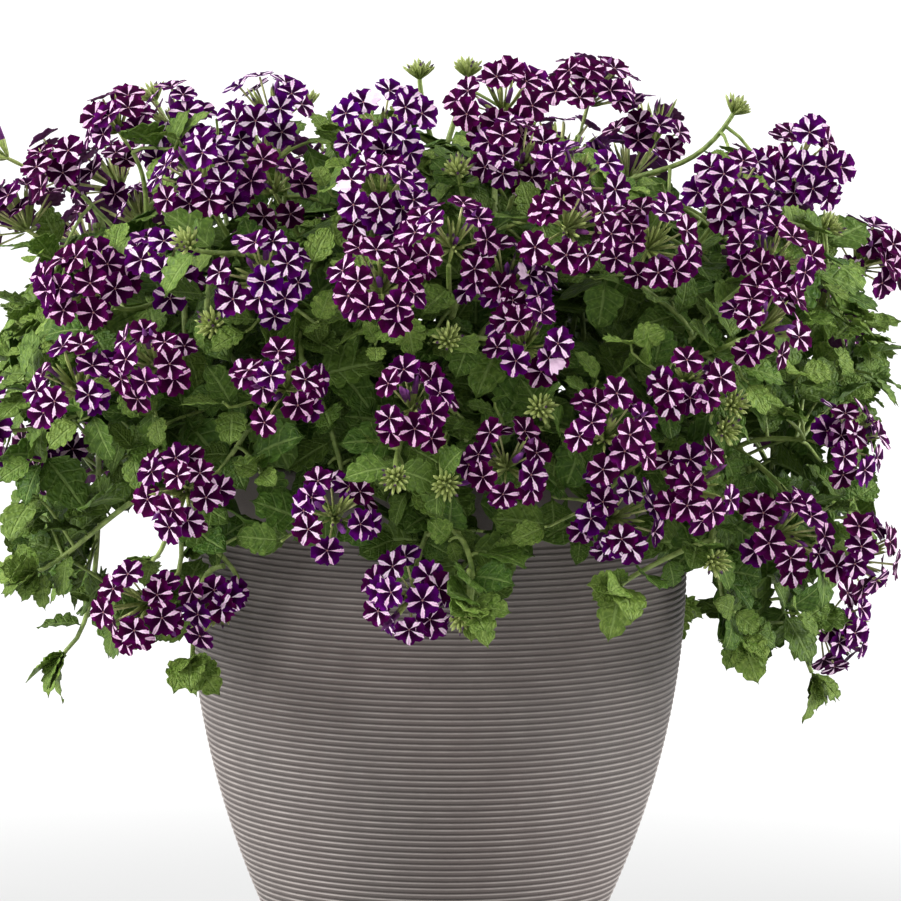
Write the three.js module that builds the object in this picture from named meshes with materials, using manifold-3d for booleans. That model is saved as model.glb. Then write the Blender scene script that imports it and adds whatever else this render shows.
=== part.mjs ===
// A verbena in full flower with its round ribbed pot, in millimetres, +Z up.
// The origin is the centre of the pot's underside, and -Y is the front.
import * as THREE from "three";
import { mergeVertices } from "three/addons/utils/BufferGeometryUtils.js";
import Module from "manifold-3d";

const wasm = await Module();
wasm.setup();

// ---------- driving dimensions ----------
const pot = {
  height: 330,
  radius: 152.5, // at the rim band
  bandBottom: 288, // the smooth band starts here, the ribs end
  bellyTop: 258, // below this height the wall curves in to the foot
  bellyCurve: 0.001046, // how fast it curves in, per mm
  wall: 4.5,
  floor: 6,
  ribsFrom: 14,
  ribCount: 8,
  ribRelief: 1.6,
  rimLip: 1.5,
  lipHeight: 3,
  sides: 18,
  drainHoles: 4,
  drainRadius: 5,
  drainCircle: 45,
};
const innerHeights = [240, 120, pot.floor]; // where the inside of the pot's wall changes slope
const soil = { top: 305, edge: 299, gap: 0.4, holeRadius: 8, holeDepth: 32 };
const mound = {
  halfWidth: 275, // of the shell that the middles of the blooms lie on
  halfDepth: 240,
  middle: 345,
  up: 210,
  down: 160,
  squareness: 2.5,
  droop: 1.6, // the more, the less the low blooms face down
};
const sector = { count: 12, start: THREE.MathUtils.degToRad(-97) };
// The plant's heart, above the forks of the stems: it all belongs to one of them.
const heart = { stem: 3, radius: 105, bottom: 372, shootGap: 8 };
const trunk = {
  circle: 82, // where the stems stand in the soil
  radius: 3.6,
  steps: 4,
  straight: 52, // it leaves the soil upright for about this far
  forkCircle: 104,
  forkHeight: 354,
  forkRise: 25,
};
const branch = {
  radius: 2.2,
  start: 0.45, // its thickness where it springs from an older one, as a share
  stepLength: 110, // of its straight lengths
  gap: 0.3,
  clear: 2.6, // kept clear of blooms
  steepest: 120, // how far ahead a shoot turns towards its bloom, at most
  ownReach: 13, // so near its end it may come close to its own bloom
};
const bloom = {
  touch: 0.8, // between the middles of two that touch, as a share of their two radii
  margin: 2.6, // kept clear of leaves
  backReach: 0.9, // the next four are shares of a bloom's radius
  crown: 0.84,
  throat: 0.9,
  pit: 0.62,
};
const leaf = {
  length: 74, // of a shoot's end with its three leaves
  sizes: [0.85, 1.2],
  thickness: 0.8,
  spacing: 17,
  apart: { heart: 54, near: 56, far: 82 }, // between the middles of two, by where they are
  own: 0.17, // a leaf keeps this share of its length free round its midrib
  fold: 0.2,
  arch: 0.2,
  deepest: { heart: 0.3, rest: 0.66 }, // as a share of the way out to the blooms
  attempts: 6,
  highest: 556, // that a leaf's tip may reach
  tipGap: 6,
  edgeGap: 1.2,
  potGap: 2,
  stemGap: 4,
};
const bud = { radius: 7.5, stalk: 2, edgeGap: 0.5, farEvery: 3 };
const seed = 2935;

// Blooms of the near side, by what touches what: [across, height, radius] of each bloom.
const nearBlooms = [
  [[-235, 500, 25], [-205, 490, 30]],
  [[-260, 465, 30], [-275, 505, 27]],
  [[-200, 530, 24], [-165, 525, 30]],
  [[-145, 505, 31], [-100, 502, 26]],
  [[-210, 445, 31], [-165, 455, 26]],
  [[-170, 405, 30], [-215, 390, 31]],
  [[-35, 500, 30], [-35, 540, 31]],
  [[-35, 455, 31], [5, 480, 30]],
  [[45, 520, 30], [35, 550, 31]],
  [[90, 550, 31], [130, 525, 32]],
  [[75, 490, 30], [80, 515, 27]],
  [[50, 420, 29], [40, 450, 31]],
  [[175, 500, 30], [215, 515, 30]],
  [[190, 430, 31], [195, 465, 31]],
  [[260, 450, 30], [240, 415, 30]],
  [[150, 335, 31], [105, 315, 31]],
  [[205, 305, 31], [250, 290, 29]],
  [[-175, 255, 31], [-131, 252, 26]],
  [[-265, 350, 29], [-235, 330, 28]],
  [[-105, 540, 31]],
  [[-105, 455, 32]],
  [[-90, 395, 31]],
  [[-15, 385, 30]],
  [[125, 475, 31]],
  [[145, 400, 25]],
  [[40, 350, 31]],
  [[100, 370, 31]],
  [[240, 355, 31]],
  [[-150, 330, 31]],
  [[-60, 320, 31]],
  [[-15, 270, 31]],
  [[245, 220, 31]],
];
const farBlooms = [
  [[-225, 440, 30], [-190, 460, 30]],
  [[-110, 430, 31], [-68, 445, 30]],
  [[20, 440, 31], [60, 425, 30]],
  [[150, 440, 31], [190, 425, 30]],
  [[-205, 300, 30], [-170, 330, 31]],
  [[-60, 325, 31]],
  [[40, 290, 30], [80, 310, 31]],
  [[165, 320, 30], [205, 340, 31]],
  [[-110, 240, 31]],
  [[130, 235, 31]],
];
// Blooms on the mound's crown: [across, back, height, radius].
const crownBlooms = [
  [[-150, 75, 495, 30], [-112, 98, 500, 31]],
  [[-62, 70, 497, 31], [-30, 95, 475, 30]],
  [[75, 70, 505, 31], [115, 92, 495, 30]],
  [[190, 80, 485, 31], [205, 118, 470, 30]],
];

// Side shoots of the near side that end in a green bud cluster, and hanging ones that end in leaves.
const nearBuds = [
  [-15, 565], [-85, 548], [-150, 478], [-135, 430], [5, 425], [10, 520], [180, 545], [235, 480],
  [175, 385], [60, 385], [165, 290], [170, 370], [5, 340], [-25, 345], [15, 260],
];
const nearHangers = [[-245, 265], [-150, 215], [185, 235], [235, 195], [20, 265], [110, 275]];
// Leafy shoots of the heart: [across, back, height] of their ends.
const heartShoots = [
  [0, 0, 458], [52, -42, 442], [-52, -48, 442], [10, 58, 430], [-84, 12, 436], [84, 6, 440],
];

// ---------- plain helpers ----------
const up = new THREE.Vector3(0, 0, 1);
const vec = (x, y, z) => new THREE.Vector3(x, y, z);

function seededRandom(start) {
  let state = start >>> 0;
  return () => {
    state = (state + 0x6d2b79f5) >>> 0;
    let t = state;
    t = Math.imul(t ^ (t >>> 15), t | 1);
    t ^= t + Math.imul(t ^ (t >>> 7), t | 61);
    return ((t ^ (t >>> 14)) >>> 0) / 4294967296;
  };
}
const random = seededRandom(seed);
const between = (low, high) => low + (high - low) * random();

// A closed three.js geometry as a solid that can be joined and cut.
function solidOf(geometry) {
  const bare = geometry.clone();
  bare.deleteAttribute("normal");
  bare.deleteAttribute("uv");
  const merged = mergeVertices(bare, 1e-3);
  const mesh = new wasm.Mesh({
    numProp: 3,
    vertProperties: merged.attributes.position.array,
    triVerts: new Uint32Array(merged.index.array),
  });
  return new wasm.Manifold(mesh);
}

function geometryOf(solid) {
  const mesh = solid.getMesh();
  const geometry = new THREE.BufferGeometry();
  geometry.setAttribute("position", new THREE.BufferAttribute(new Float32Array(mesh.vertProperties), 3));
  geometry.setIndex(new THREE.BufferAttribute(new Uint32Array(mesh.triVerts), 1));
  geometry.computeVertexNormals();
  return geometry;
}

function pointsOf(geometry) {
  const { array, count } = geometry.attributes.position;
  return Array.from({ length: count }, (_, i) => new THREE.Vector3().fromArray(array, 3 * i));
}

// Joins solids into one body. A hollow that this seals is filled, and a loose scrap is dropped.
function joined(solids) {
  const bodies = solids.reduce((sum, next) => sum.add(next)).decompose();
  bodies.sort((a, b) => b.volume() - a.volume());
  if (bodies[1] && bodies[1].volume() > 1) throw new Error("a piece has come loose");
  return bodies[0];
}

// A slim stem with three flat sides along a curve, finer where it springs from an older one.
function stem(curve, radius, steps, startShare = 1) {
  const section = new THREE.Shape();
  for (let i = 0; i < 3; i++) {
    const a = (2 * Math.PI * i) / 3;
    section[i ? "lineTo" : "moveTo"](radius * Math.cos(a), radius * Math.sin(a));
  }
  const geometry = new THREE.ExtrudeGeometry(section, { steps, extrudePath: curve, bevelEnabled: false });
  const start = curve.getPointAt(0);
  const position = geometry.attributes.position;
  for (let i = 0; i < position.count; i++) {
    const p = vec(position.getX(i), position.getY(i), position.getZ(i));
    if (p.distanceTo(start) > radius * 1.01) continue;
    p.sub(start).multiplyScalar(startShare).add(start);
    position.setXYZ(i, p.x, p.y, p.z);
  }
  return geometry;
}

// A place part way along a stem's straight lengths, with the directions along and across it there.
function placeOn(curve, steps, share) {
  const rings = curve.getSpacedPoints(steps);
  const frames = curve.computeFrenetFrames(steps, false);
  const k = Math.min(Math.floor(share * steps), steps - 1);
  const u = share * steps - k;
  const along = rings[k + 1].clone().sub(rings[k]).normalize();
  const across = frames.normals[k].clone().lerp(frames.normals[k + 1], u);
  across.addScaledVector(along, -across.dot(along)).normalize();
  return { at: rings[k].clone().lerp(rings[k + 1], u), along, across, other: along.clone().cross(across) };
}

const stepsOf = (curve) => Math.max(2, Math.round(curve.getLength() / branch.stepLength));

// Turns a shape whose own +Z is its front so that it faces a direction, spun about it.
function placed(geometry, at, facing, spin = 0) {
  const turn = new THREE.Quaternion().setFromUnitVectors(up, facing);
  const spun = new THREE.Quaternion().setFromAxisAngle(up, spin);
  const matrix = new THREE.Matrix4().compose(at, turn.multiply(spun), vec(1, 1, 1));
  return geometry.clone().applyMatrix4(matrix);
}

const onCircle = (radius, angle, z) => vec(radius * Math.cos(angle), radius * Math.sin(angle), z);

// ---------- pot and soil ----------
const outerRadius = (z) => {
  const below = Math.max(0, pot.bellyTop - z);
  return pot.radius - pot.bellyCurve * below * below;
};

function latheUp(profile, sides) {
  const points = profile.map(([r, z]) => new THREE.Vector2(r, z));
  return new THREE.LatheGeometry(points, sides).rotateX(Math.PI / 2);
}

function uprightHole(radius, height, at) {
  const drill = new THREE.CylinderGeometry(radius, radius, height, 6).rotateX(Math.PI / 2);
  return solidOf(drill.translate(at.x, at.y, at.z));
}

function potSolid() {
  const pitch = (pot.bandBottom - pot.ribsFrom) / pot.ribCount;
  const profile = [[0, 0], [outerRadius(0), 0]];
  for (let i = 0; i < pot.ribCount; i++) {
    const groove = pot.ribsFrom + i * pitch;
    const crest = groove + pitch / 2;
    profile.push([outerRadius(groove) - pot.ribRelief / 2, groove]);
    profile.push([outerRadius(crest) + pot.ribRelief / 2, crest]);
  }
  profile.push([pot.radius, pot.bandBottom], [pot.radius + pot.rimLip, pot.height - pot.lipHeight]);
  profile.push([pot.radius, pot.height], [pot.radius - pot.wall, pot.height]);
  for (const z of innerHeights) profile.push([outerRadius(z) - pot.wall, z]);
  profile.push([0, pot.floor]);
  let solid = solidOf(latheUp(profile, pot.sides));
  for (let i = 0; i < pot.drainHoles; i++) {
    const at = onCircle(pot.drainCircle, (2 * Math.PI * i) / pot.drainHoles, 0);
    solid = solid.subtract(uprightHole(pot.drainRadius, pot.floor * 3, at));
  }
  return solid;
}

const sectorAngle = (index) => sector.start + ((index + 0.5) * 2 * Math.PI) / sector.count;

function soilSolid() {
  const inner = (z) => outerRadius(z) - pot.wall - soil.gap;
  const profile = [[0, pot.floor + soil.gap]];
  for (const z of [...innerHeights].reverse()) profile.push([inner(z), Math.max(z, pot.floor + soil.gap)]);
  profile.push([inner(soil.edge), soil.edge], [0, soil.top]);
  let solid = solidOf(latheUp(profile, pot.sides));
  for (let i = 0; i < sector.count; i++) {
    const at = onCircle(trunk.circle, sectorAngle(i), soil.top);
    solid = solid.subtract(uprightHole(soil.holeRadius, 2 * soil.holeDepth, at));
  }
  return solid;
}

// ---------- where the blooms are ----------
// How far in front of the middle the shell of blooms lies at a place seen from the front.
function shellDepth(x, z) {
  const reach = z > mound.middle ? mound.up : mound.down;
  const n = mound.squareness;
  const left = 1 - Math.abs(x / mound.halfWidth) ** n - Math.abs((z - mound.middle) / reach) ** n;
  return mound.halfDepth * Math.max(0, left) ** (1 / n);
}

// How far out towards the shell a place lies, from 0 in the middle to 1 on it.
function shellShare(at) {
  const reach = at.z > mound.middle ? mound.up : mound.down;
  const n = mound.squareness;
  const shares = [at.x / mound.halfWidth, at.y / mound.halfDepth, (at.z - mound.middle) / reach];
  return shares.reduce((sum, share) => sum + Math.abs(share) ** n, 0) ** (1 / n);
}

// The way that a bloom or a shoot at a place faces: out of the mound.
function outward(at) {
  const reach = at.z > mound.middle ? mound.up : mound.down * mound.droop;
  const rise = (at.z - mound.middle) / reach ** 2;
  return vec(at.x / mound.halfWidth ** 2, at.y / mound.halfDepth ** 2, rise).normalize();
}

// One spray: the first bloom lies on the shell, and each further one touches it from behind.
function nearSpray(rows) {
  const [firstX, firstZ] = rows[0];
  const firstY = -shellDepth(firstX, firstZ);
  return rows.map(([x, z, radius], i) => {
    const aside = Math.hypot(x - firstX, z - firstZ);
    const apart = bloom.touch * (radius + rows[0][2]);
    const behind = i ? Math.sqrt(Math.max(0, apart ** 2 - aside ** 2)) : 0;
    return { at: vec(x, firstY + behind, z), radius };
  });
}

const farEnough = (spray, others) =>
  others.every((other) =>
    other.every((b) => spray.every((a) => a.at.distanceTo(b.at) > a.radius + b.radius + 0.6)),
  );

// A spray that meets another one is moved in or out of the mound until it is clear.
function settled(spray, others) {
  for (let step = 0; step < 40; step++) {
    const shift = (step % 2 ? 1 : -1) * Math.ceil(step / 2) * 4;
    const moved = spray.map((b) => ({ ...b, at: b.at.clone().add(vec(0, shift, 0)) }));
    if (farEnough(moved, others)) return moved;
  }
  return null;
}

function bloomSprays() {
  const turned = (spray) => spray.map(({ at, radius }) => ({ at: vec(at.x, -at.y, at.z), radius }));
  const crown = (rows) => rows.map(([x, y, z, radius]) => ({ at: vec(x, y, z), radius }));
  const far = farBlooms.map((rows) => turned(nearSpray(rows)));
  const placedSprays = [];
  for (const spray of [...nearBlooms.map(nearSpray), ...crownBlooms.map(crown), ...far]) {
    const moved = settled(spray, placedSprays);
    if (!moved) throw new Error("no room for the spray at " + spray[0].at.toArray());
    placedSprays.push(moved);
  }
  return placedSprays;
}

// ---------- one bloom ----------
const isLow = (p) => p.z < -0.2;

// A face of the lower belt: only its two edges that rise have a petal tip in the middle.
function pushBelow(out, throats, tips) {
  const k = throats.findIndex((p) => !isLow(p));
  const [top, left, right] = [0, 1, 2].map((i) => throats[(k + i) % 3]);
  const [leftTip, , rightTip] = [0, 1, 2].map((i) => tips[(k + i) % 3]);
  out.push(top, leftTip, rightTip, leftTip, left, rightTip, left, right, rightTip);
}

// A dome of eleven five-petalled florets that narrows to its stalk. It is an icosahedron with a corner to
// the front: each corner is a floret's throat, each edge's middle is where the petals of two florets meet,
// and each face's middle is a pit between three florets. The hindmost corner is the stalk.
function bloomGeometry() {
  const corners = pointsOf(new THREE.IcosahedronGeometry(1, 0));
  const upright = new THREE.Quaternion().setFromUnitVectors(corners[0].clone().normalize(), up);
  corners.forEach((c) => c.normalize().applyQuaternion(upright));
  const stalk = vec(0, 0, -bloom.backReach);
  const throat = (c) => {
    if (c.z < -0.9) return stalk;
    return c.clone().multiplyScalar(c.z > 0.9 ? bloom.crown : bloom.throat);
  };
  const tip = (a, b) => a.clone().add(b).normalize();
  const out = [];
  for (let i = 0; i < corners.length; i += 3) {
    let [a, b, c] = corners.slice(i, i + 3);
    const middle = a.clone().add(b).add(c).normalize();
    while (Math.min(b.z, c.z) < a.z) [a, b, c] = [b, c, a]; // a is the hindmost corner
    const [ab, bc, ca] = [tip(a, b), tip(b, c), tip(c, a)];
    const [A, B, C] = [a, b, c].map(throat);
    if (a.z < -0.9) out.push(A, B, C);
    else if (middle.z < 0) pushBelow(out, [A, B, C], [ab, bc, ca]);
    else {
      const pit = middle.multiplyScalar(bloom.pit);
      for (const [p, q] of [[A, ab], [ab, B], [B, bc], [bc, C], [C, ca], [ca, A]]) out.push(p, q, pit);
    }
  }
  return new THREE.BufferGeometry().setFromPoints(out);
}

// ---------- the green shoots ----------
const isInHeart = (at) => at.z > heart.bottom && Math.hypot(at.x, at.y) < heart.radius;

function sectorOf(at) {
  if (isInHeart(at)) return heart.stem;
  const turn = (Math.atan2(at.y, at.x) - sector.start) / (2 * Math.PI);
  return Math.floor((turn - Math.floor(turn)) * sector.count);
}

// How far inside its sector a point lies: sectors are kept apart, so that no two shoots cross. The heart
// counts to the sector of its own stem.
function insideSector(at, index) {
  const half = Math.PI / sector.count;
  const a = Math.atan2(at.y, at.x) - sectorAngle(index);
  const r = Math.hypot(at.x, at.y);
  const aside = Math.abs(Math.atan2(Math.sin(a), Math.cos(a)));
  const inWedge = aside > half ? -1 : r * Math.sin(half - aside);
  if (at.z < heart.bottom) return inWedge;
  const inHeart = Math.min(heart.radius - r, at.z - heart.bottom);
  return index === heart.stem ? Math.max(inWedge, inHeart) : Math.min(inWedge, r - heart.radius);
}

function clearOfPot(at, margin) {
  const r = Math.hypot(at.x, at.y);
  if (at.z > pot.height + margin) return true;
  if (r > outerRadius(at.z) + pot.rimLip + margin) return true;
  return r < pot.radius - pot.wall - 3 - margin && at.z > soil.top + margin;
}

const clearOfBlooms = (at, some, margin) => some.every((b) => at.distanceTo(b.at) > b.radius + margin);

// The main stem of a sector, from its hole in the soil to above the rim.
function trunkCurve(index) {
  const angle = sectorAngle(index);
  const foot = onCircle(trunk.circle, angle, soil.top - soil.holeDepth + branch.gap);
  const top = onCircle(trunk.forkCircle, angle, trunk.forkHeight);
  const rise = foot.clone().add(vec(0, 0, trunk.straight));
  return new THREE.CubicBezierCurve3(foot, rise, top.clone().add(vec(0, 0, -trunk.forkRise)), top);
}

// The foot of a stalk behind a place, turned and tilted a little at each further attempt.
const stalkTurns = 9;
const stalkTilts = [0, 0.3, -0.3, 0.6, -0.6, 0.9];
function stalkBase(at, reach, attempt) {
  const turn = (attempt % 2 ? 1 : -1) * Math.ceil((attempt % stalkTurns) / 2) * 0.09;
  const tilt = stalkTilts[Math.floor(attempt / stalkTurns)];
  const facing = outward(at).applyAxisAngle(up, turn);
  facing.add(vec(0, 0, tilt)).normalize();
  const base = at.clone().addScaledVector(facing, -reach);
  return { facing, base, index: sectorOf(base) };
}

const probeShares = Array.from({ length: 20 }, (_, i) => (i + 1) / 20);
const bow = {
  sides: [0, 10, -10, 22, -22], // how far aside a shoot bows, then how far up and how much ahead
  lift: 16,
  pull: 0.3,
  rimReach: 40, // shoots that end lower than this above the rim go over it
  outside: 130,
  hangFull: 60,
  overOut: 14,
  overUp: 58,
  drop: 34,
};

// How much a shoot hangs over the rim on its way from a start to a base, from 0 to 1.
function hangOver(start, base) {
  const below = pot.height + bow.rimReach - base.z;
  const crossesRim = Math.hypot(start.x, start.y) < pot.radius && Math.hypot(base.x, base.y) > bow.outside;
  return crossesRim ? THREE.MathUtils.clamp(below / bow.hangFull, 0, 1) : 0;
}

// A shoot from a start to a base, bowed until it is clear of the pot and of the blooms.
function shootCurve(start, target, own) {
  const { base, facing, index } = target;
  const far = base.distanceTo(start);
  const angle = Math.atan2(base.y, base.x);
  const hangs = hangOver(start, base);
  const across = vec(-Math.sin(angle), Math.cos(angle), 0);
  for (let attempt = 0; attempt < 60; attempt++) {
    const side = bow.sides[attempt % 5];
    const lift = (Math.floor(attempt / 5) % 4) * bow.lift;
    const pull = bow.pull + 0.14 * Math.floor(attempt / 20);
    const rise = start.clone().lerp(base, 0.25).add(vec(0, 0, 0.2 * far + lift));
    const over = onCircle(pot.radius + bow.overOut + lift / 2, angle, pot.height + bow.overUp + lift);
    const first = rise.lerp(over, hangs).addScaledVector(across, side);
    const second = base.clone().addScaledVector(facing, -pull * Math.min(far, branch.steepest));
    second.add(vec(0, 0, hangs * bow.drop)).addScaledVector(across, side * 0.6);
    const curve = new THREE.CubicBezierCurve3(start, first, second, base);
    const steps = stepsOf(curve);
    const points = probeShares.map((share) => placeOn(curve, steps, share).at);
    const isClear = points.every((p) => {
      const others = p.distanceTo(base) < branch.ownReach ? blooms.filter((b) => b !== own) : blooms;
      return (
        insideSector(p, index) > branch.radius + 0.5 &&
        clearOfPot(p, branch.radius + 1) &&
        clearOfBlooms(p, others, branch.clear)
      );
    });
    if (isClear) return curve;
  }
  return null;
}

// The places that a new shoot may spring from: free joints of the older shoots, then the main stem.
function springs(index, base) {
  const free = shoots[index].flatMap((shoot) => shoot.joints.filter((joint) => !joint.used));
  const usable = free.filter((joint) => {
    const far = joint.at.distanceTo(base);
    return far > 24 && base.clone().sub(joint.at).dot(joint.along) > 0.25 * far;
  });
  usable.sort((a, b) => a.at.distanceTo(base) - b.at.distanceTo(base));
  const main = trunkCurve(index);
  const share = 0.62 + 0.36 * ((shoots[index].length * 0.382) % 1);
  return [...usable.slice(0, 4), placeOn(main, trunk.steps, share), placeOn(main, trunk.steps, 0.98)];
}

const jointShares = [0.3, 0.44, 0.58, 0.72];
function addShoot(index, curve, extra) {
  const joints = jointShares.map((share) => ({ ...placeOn(curve, stepsOf(curve), share), used: false }));
  shoots[index].push({ curve, joints, ...extra });
}

// The first stalk and shoot that are clear, or null.
function seated(at, reach, own) {
  for (let attempt = 0; attempt < stalkTurns * stalkTilts.length; attempt++) {
    const target = stalkBase(at, reach, attempt);
    if (insideSector(target.base, target.index) < branch.radius + 0.6) continue;
    for (const spring of springs(target.index, target.base)) {
      const curve = shootCurve(spring.at, target, own);
      if (!curve) continue;
      spring.used = true;
      return { ...target, curve };
    }
  }
  return null;
}

// The right half of a shoot's end in its own frame: along +Y, front to +Z. It is cut to the rib into an
// end leaf and one leaf of the pair below it, each with coarse teeth. Those of the heart are plainer.
const toothedOutline = [
  [0, 0.004], [0.25, 0.2], [0.29, 0.32], [0.46, 0.47], [0.03, 0.4],
  [0.2, 0.58], [0.13, 0.72], [0.15, 0.82], [0, 1.08],
];
const heartOutline = [[0, 0.004], [0.28, 0.22], [0.46, 0.47], [0.03, 0.4], [0.2, 0.62], [0, 1.08]];

function leafPoint(x, y, length) {
  return vec(x * length, y * length, (leaf.fold * Math.abs(x) - leaf.arch * y * y) * length);
}

function leafGeometry(outline, length) {
  const right = outline.map(([x, y]) => new THREE.Vector2(x * length, y * length));
  const left = outline.slice(1, -1).reverse().map(([x, y]) => new THREE.Vector2(-x * length, y * length));
  const blade = new THREE.Shape([...right.slice(1), ...left, right[0]]);
  const geometry = new THREE.ExtrudeGeometry(blade, { depth: leaf.thickness, bevelEnabled: false });
  const position = geometry.attributes.position;
  for (let i = 0; i < position.count; i++) {
    const [x, y] = [position.getX(i) / length, position.getY(i) / length];
    position.setZ(i, position.getZ(i) + leafPoint(x, y, length).z);
  }
  return geometry;
}

// The places where a leaf would touch something first.
function leafProbes(matrix, length) {
  const probes = [];
  for (const [x, y] of toothedOutline) {
    if (y < 0.2) continue;
    probes.push(leafPoint(x, y, length), leafPoint(-x, y, length), leafPoint(x / 2, y, length));
    probes.push(leafPoint(-x / 2, y, length), leafPoint(0, y * 0.8 + 0.1, length));
  }
  return probes.map((p) => p.applyMatrix4(matrix));
}

// Whether a leaf whose own frame is given has room beside everything else.
function leafFits(matrix, size, index, stemPoints, taken) {
  const middle = leafPoint(0, 0.5, size).applyMatrix4(matrix);
  const apart = isInHeart(middle) ? leaf.apart.heart : middle.y < 0 ? leaf.apart.near : leaf.apart.far;
  if (taken.some((other) => other.middle.distanceTo(middle) < apart)) return false;
  return leafProbes(matrix, size).every(
    (p) =>
      p.z < leaf.highest &&
      insideSector(p, index) > leaf.edgeGap &&
      clearOfPot(p, leaf.potGap) &&
      clearOfBlooms(p, blooms, bloom.margin) &&
      stemPoints.every((q) => q.distanceTo(p) > leaf.stemGap) &&
      taken.every((other) => other.midrib.every((m) => p.distanceTo(m) > leaf.own * size)),
  );
}

// Leaves in opposite pairs along a shoot, from its end, each taken only where there is room for it.
function shootLeaves(curve, index, stemPoints, taken) {
  const leaves = [];
  const length = curve.getLength();
  const pairs = Math.floor((length * 0.78) / leaf.spacing);
  for (let i = 0; i < pairs; i++) {
    const share = 1 - (leaf.tipGap + i * leaf.spacing) / length;
    const { at, along, across, other } = placeOn(curve, stepsOf(curve), share);
    if (shellShare(at) < (isInHeart(at) ? leaf.deepest.heart : leaf.deepest.rest)) continue;
    for (const side of [1, -1]) {
      const size = leaf.length * between(...leaf.sizes);
      for (let attempt = 0; attempt < leaf.attempts; attempt++) {
        const ahead = (i % 2 ? across : other).clone().multiplyScalar(side);
        ahead.addScaledVector(along, between(-0.1, 0.7)).normalize();
        const face = outward(at).multiplyScalar(0.8).add(vec(between(-0.4, 0.4), between(-0.4, 0.4), 0.7));
        face.addScaledVector(ahead, -face.dot(ahead)).normalize();
        const matrix = new THREE.Matrix4().makeBasis(ahead.clone().cross(face), ahead, face).setPosition(at);
        if (!leafFits(matrix, size, index, stemPoints, taken)) continue;
        const onRib = (y) => leafPoint(0, y, size).applyMatrix4(matrix);
        const [middle, ...midrib] = [0.5, 0.3, 0.6, 0.9].map(onRib);
        taken.push({ middle, midrib });
        leaves.push({ matrix, size, outline: isInHeart(middle) ? heartOutline : toothedOutline });
        break;
      }
    }
  }
  return leaves;
}

// ---------- the whole plant ----------
const sprays = bloomSprays();
const blooms = sprays.flat();
const shoots = Array.from({ length: sector.count }, () => []);

for (const b of blooms) {
  const seat = seated(b.at, b.radius * bloom.backReach + branch.gap, b);
  if (!seat) throw new Error("no clear shoot for the bloom at " + b.at.toArray().map(Math.round));
  Object.assign(b, seat);
  addShoot(b.index, b.curve);
}

// A shoot that ends in a bud cluster or in leaves. It is left out where it finds no room.
function sideShoot([x, z], turned, hasBud) {
  const back = turned ? 1 : -1;
  const depth = shellDepth(x * 0.96, z) + 12;
  for (let step = 0; step < 12; step++) {
    const shift = (step % 2 ? 1 : -1) * Math.ceil(step / 2) * 7;
    const spot = vec(-back * x, back * (depth + shift), z);
    if (!clearOfBlooms(spot, blooms, bud.radius + 2)) continue;
    const seat = seated(spot, hasBud ? bud.stalk : bud.radius, null);
    if (!seat || insideSector(spot, seat.index) < bud.radius + bud.edgeGap) continue;
    addShoot(seat.index, seat.curve, { bud: hasBud ? spot : null });
    return;
  }
}

function heartShoot(row) {
  const seat = seated(vec(...row), heart.shootGap, null);
  if (!seat) throw new Error("no room for a shoot in the heart at " + row);
  addShoot(seat.index, seat.curve, { bud: null });
}

const farBuds = nearBuds.filter((_, i) => i % bud.farEvery === 0);
for (const row of heartShoots) heartShoot(row);
for (const row of nearBuds) sideShoot(row, false, true);
for (const row of nearHangers) sideShoot(row, false, false);
for (const row of farBuds) sideShoot(row, true, true);
for (const row of nearHangers) sideShoot(row, true, false);

function leafyStemSolid(index, taken) {
  const solids = [solidOf(stem(trunkCurve(index), trunk.radius, trunk.steps))];
  const pointsAlong = ({ curve }) => curve.getSpacedPoints(Math.ceil(curve.getLength() / 6));
  const stemPoints = shoots[index].flatMap(pointsAlong);
  for (const { curve, bud: spot } of shoots[index]) {
    solids.push(solidOf(stem(curve, branch.radius, stepsOf(curve), branch.start)));
    if (spot) solids.push(solidOf(placed(new THREE.IcosahedronGeometry(bud.radius, 0), spot, up)));
    for (const { matrix, size, outline } of shootLeaves(curve, index, stemPoints, taken))
      solids.push(solidOf(leafGeometry(outline, size).applyMatrix4(matrix)));
  }
  return joined(solids);
}

const finishes = {
  pot: new THREE.MeshStandardMaterial({ name: "pot", color: 0x736a68, roughness: 0.75, metalness: 0 }),
  soil: new THREE.MeshStandardMaterial({ name: "soil", color: 0x2e241c, roughness: 0.95, metalness: 0 }),
  foliage: new THREE.MeshStandardMaterial({ name: "foliage", color: 0x4b6e32, roughness: 0.6, metalness: 0 }),
  petals: new THREE.MeshStandardMaterial({ name: "petals", color: 0x4b1478, roughness: 0.55, metalness: 0 }),
};

const verbena = new THREE.Group();
function addPiece(name, solid, finish) {
  const mesh = new THREE.Mesh(geometryOf(solid), finish);
  mesh.name = name;
  verbena.add(mesh);
}
const numbered = (name, i) => name + "_" + String(i + 1).padStart(2, "0");

addPiece("pot", potSolid(), finishes.pot);
addPiece("soil", soilSolid(), finishes.soil);
const takenByLeaves = [];
for (let i = 0; i < sector.count; i++)
  addPiece(numbered("leafy_stem", i), leafyStemSolid(i, takenByLeaves), finishes.foliage);
const oneBloom = bloomGeometry();
sprays.forEach((spray, i) => {
  const solids = spray.map((b) => {
    const size = oneBloom.clone().scale(b.radius, b.radius, b.radius);
    return solidOf(placed(size, b.at, b.facing, between(0, 2 * Math.PI)));
  });
  addPiece(numbered("bloom", i), joined(solids), finishes.petals);
});

export default verbena;
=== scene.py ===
import math
import random

import bmesh
import bpy
import numpy as np
from mathutils import Matrix, Quaternion, Vector, noise


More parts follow.
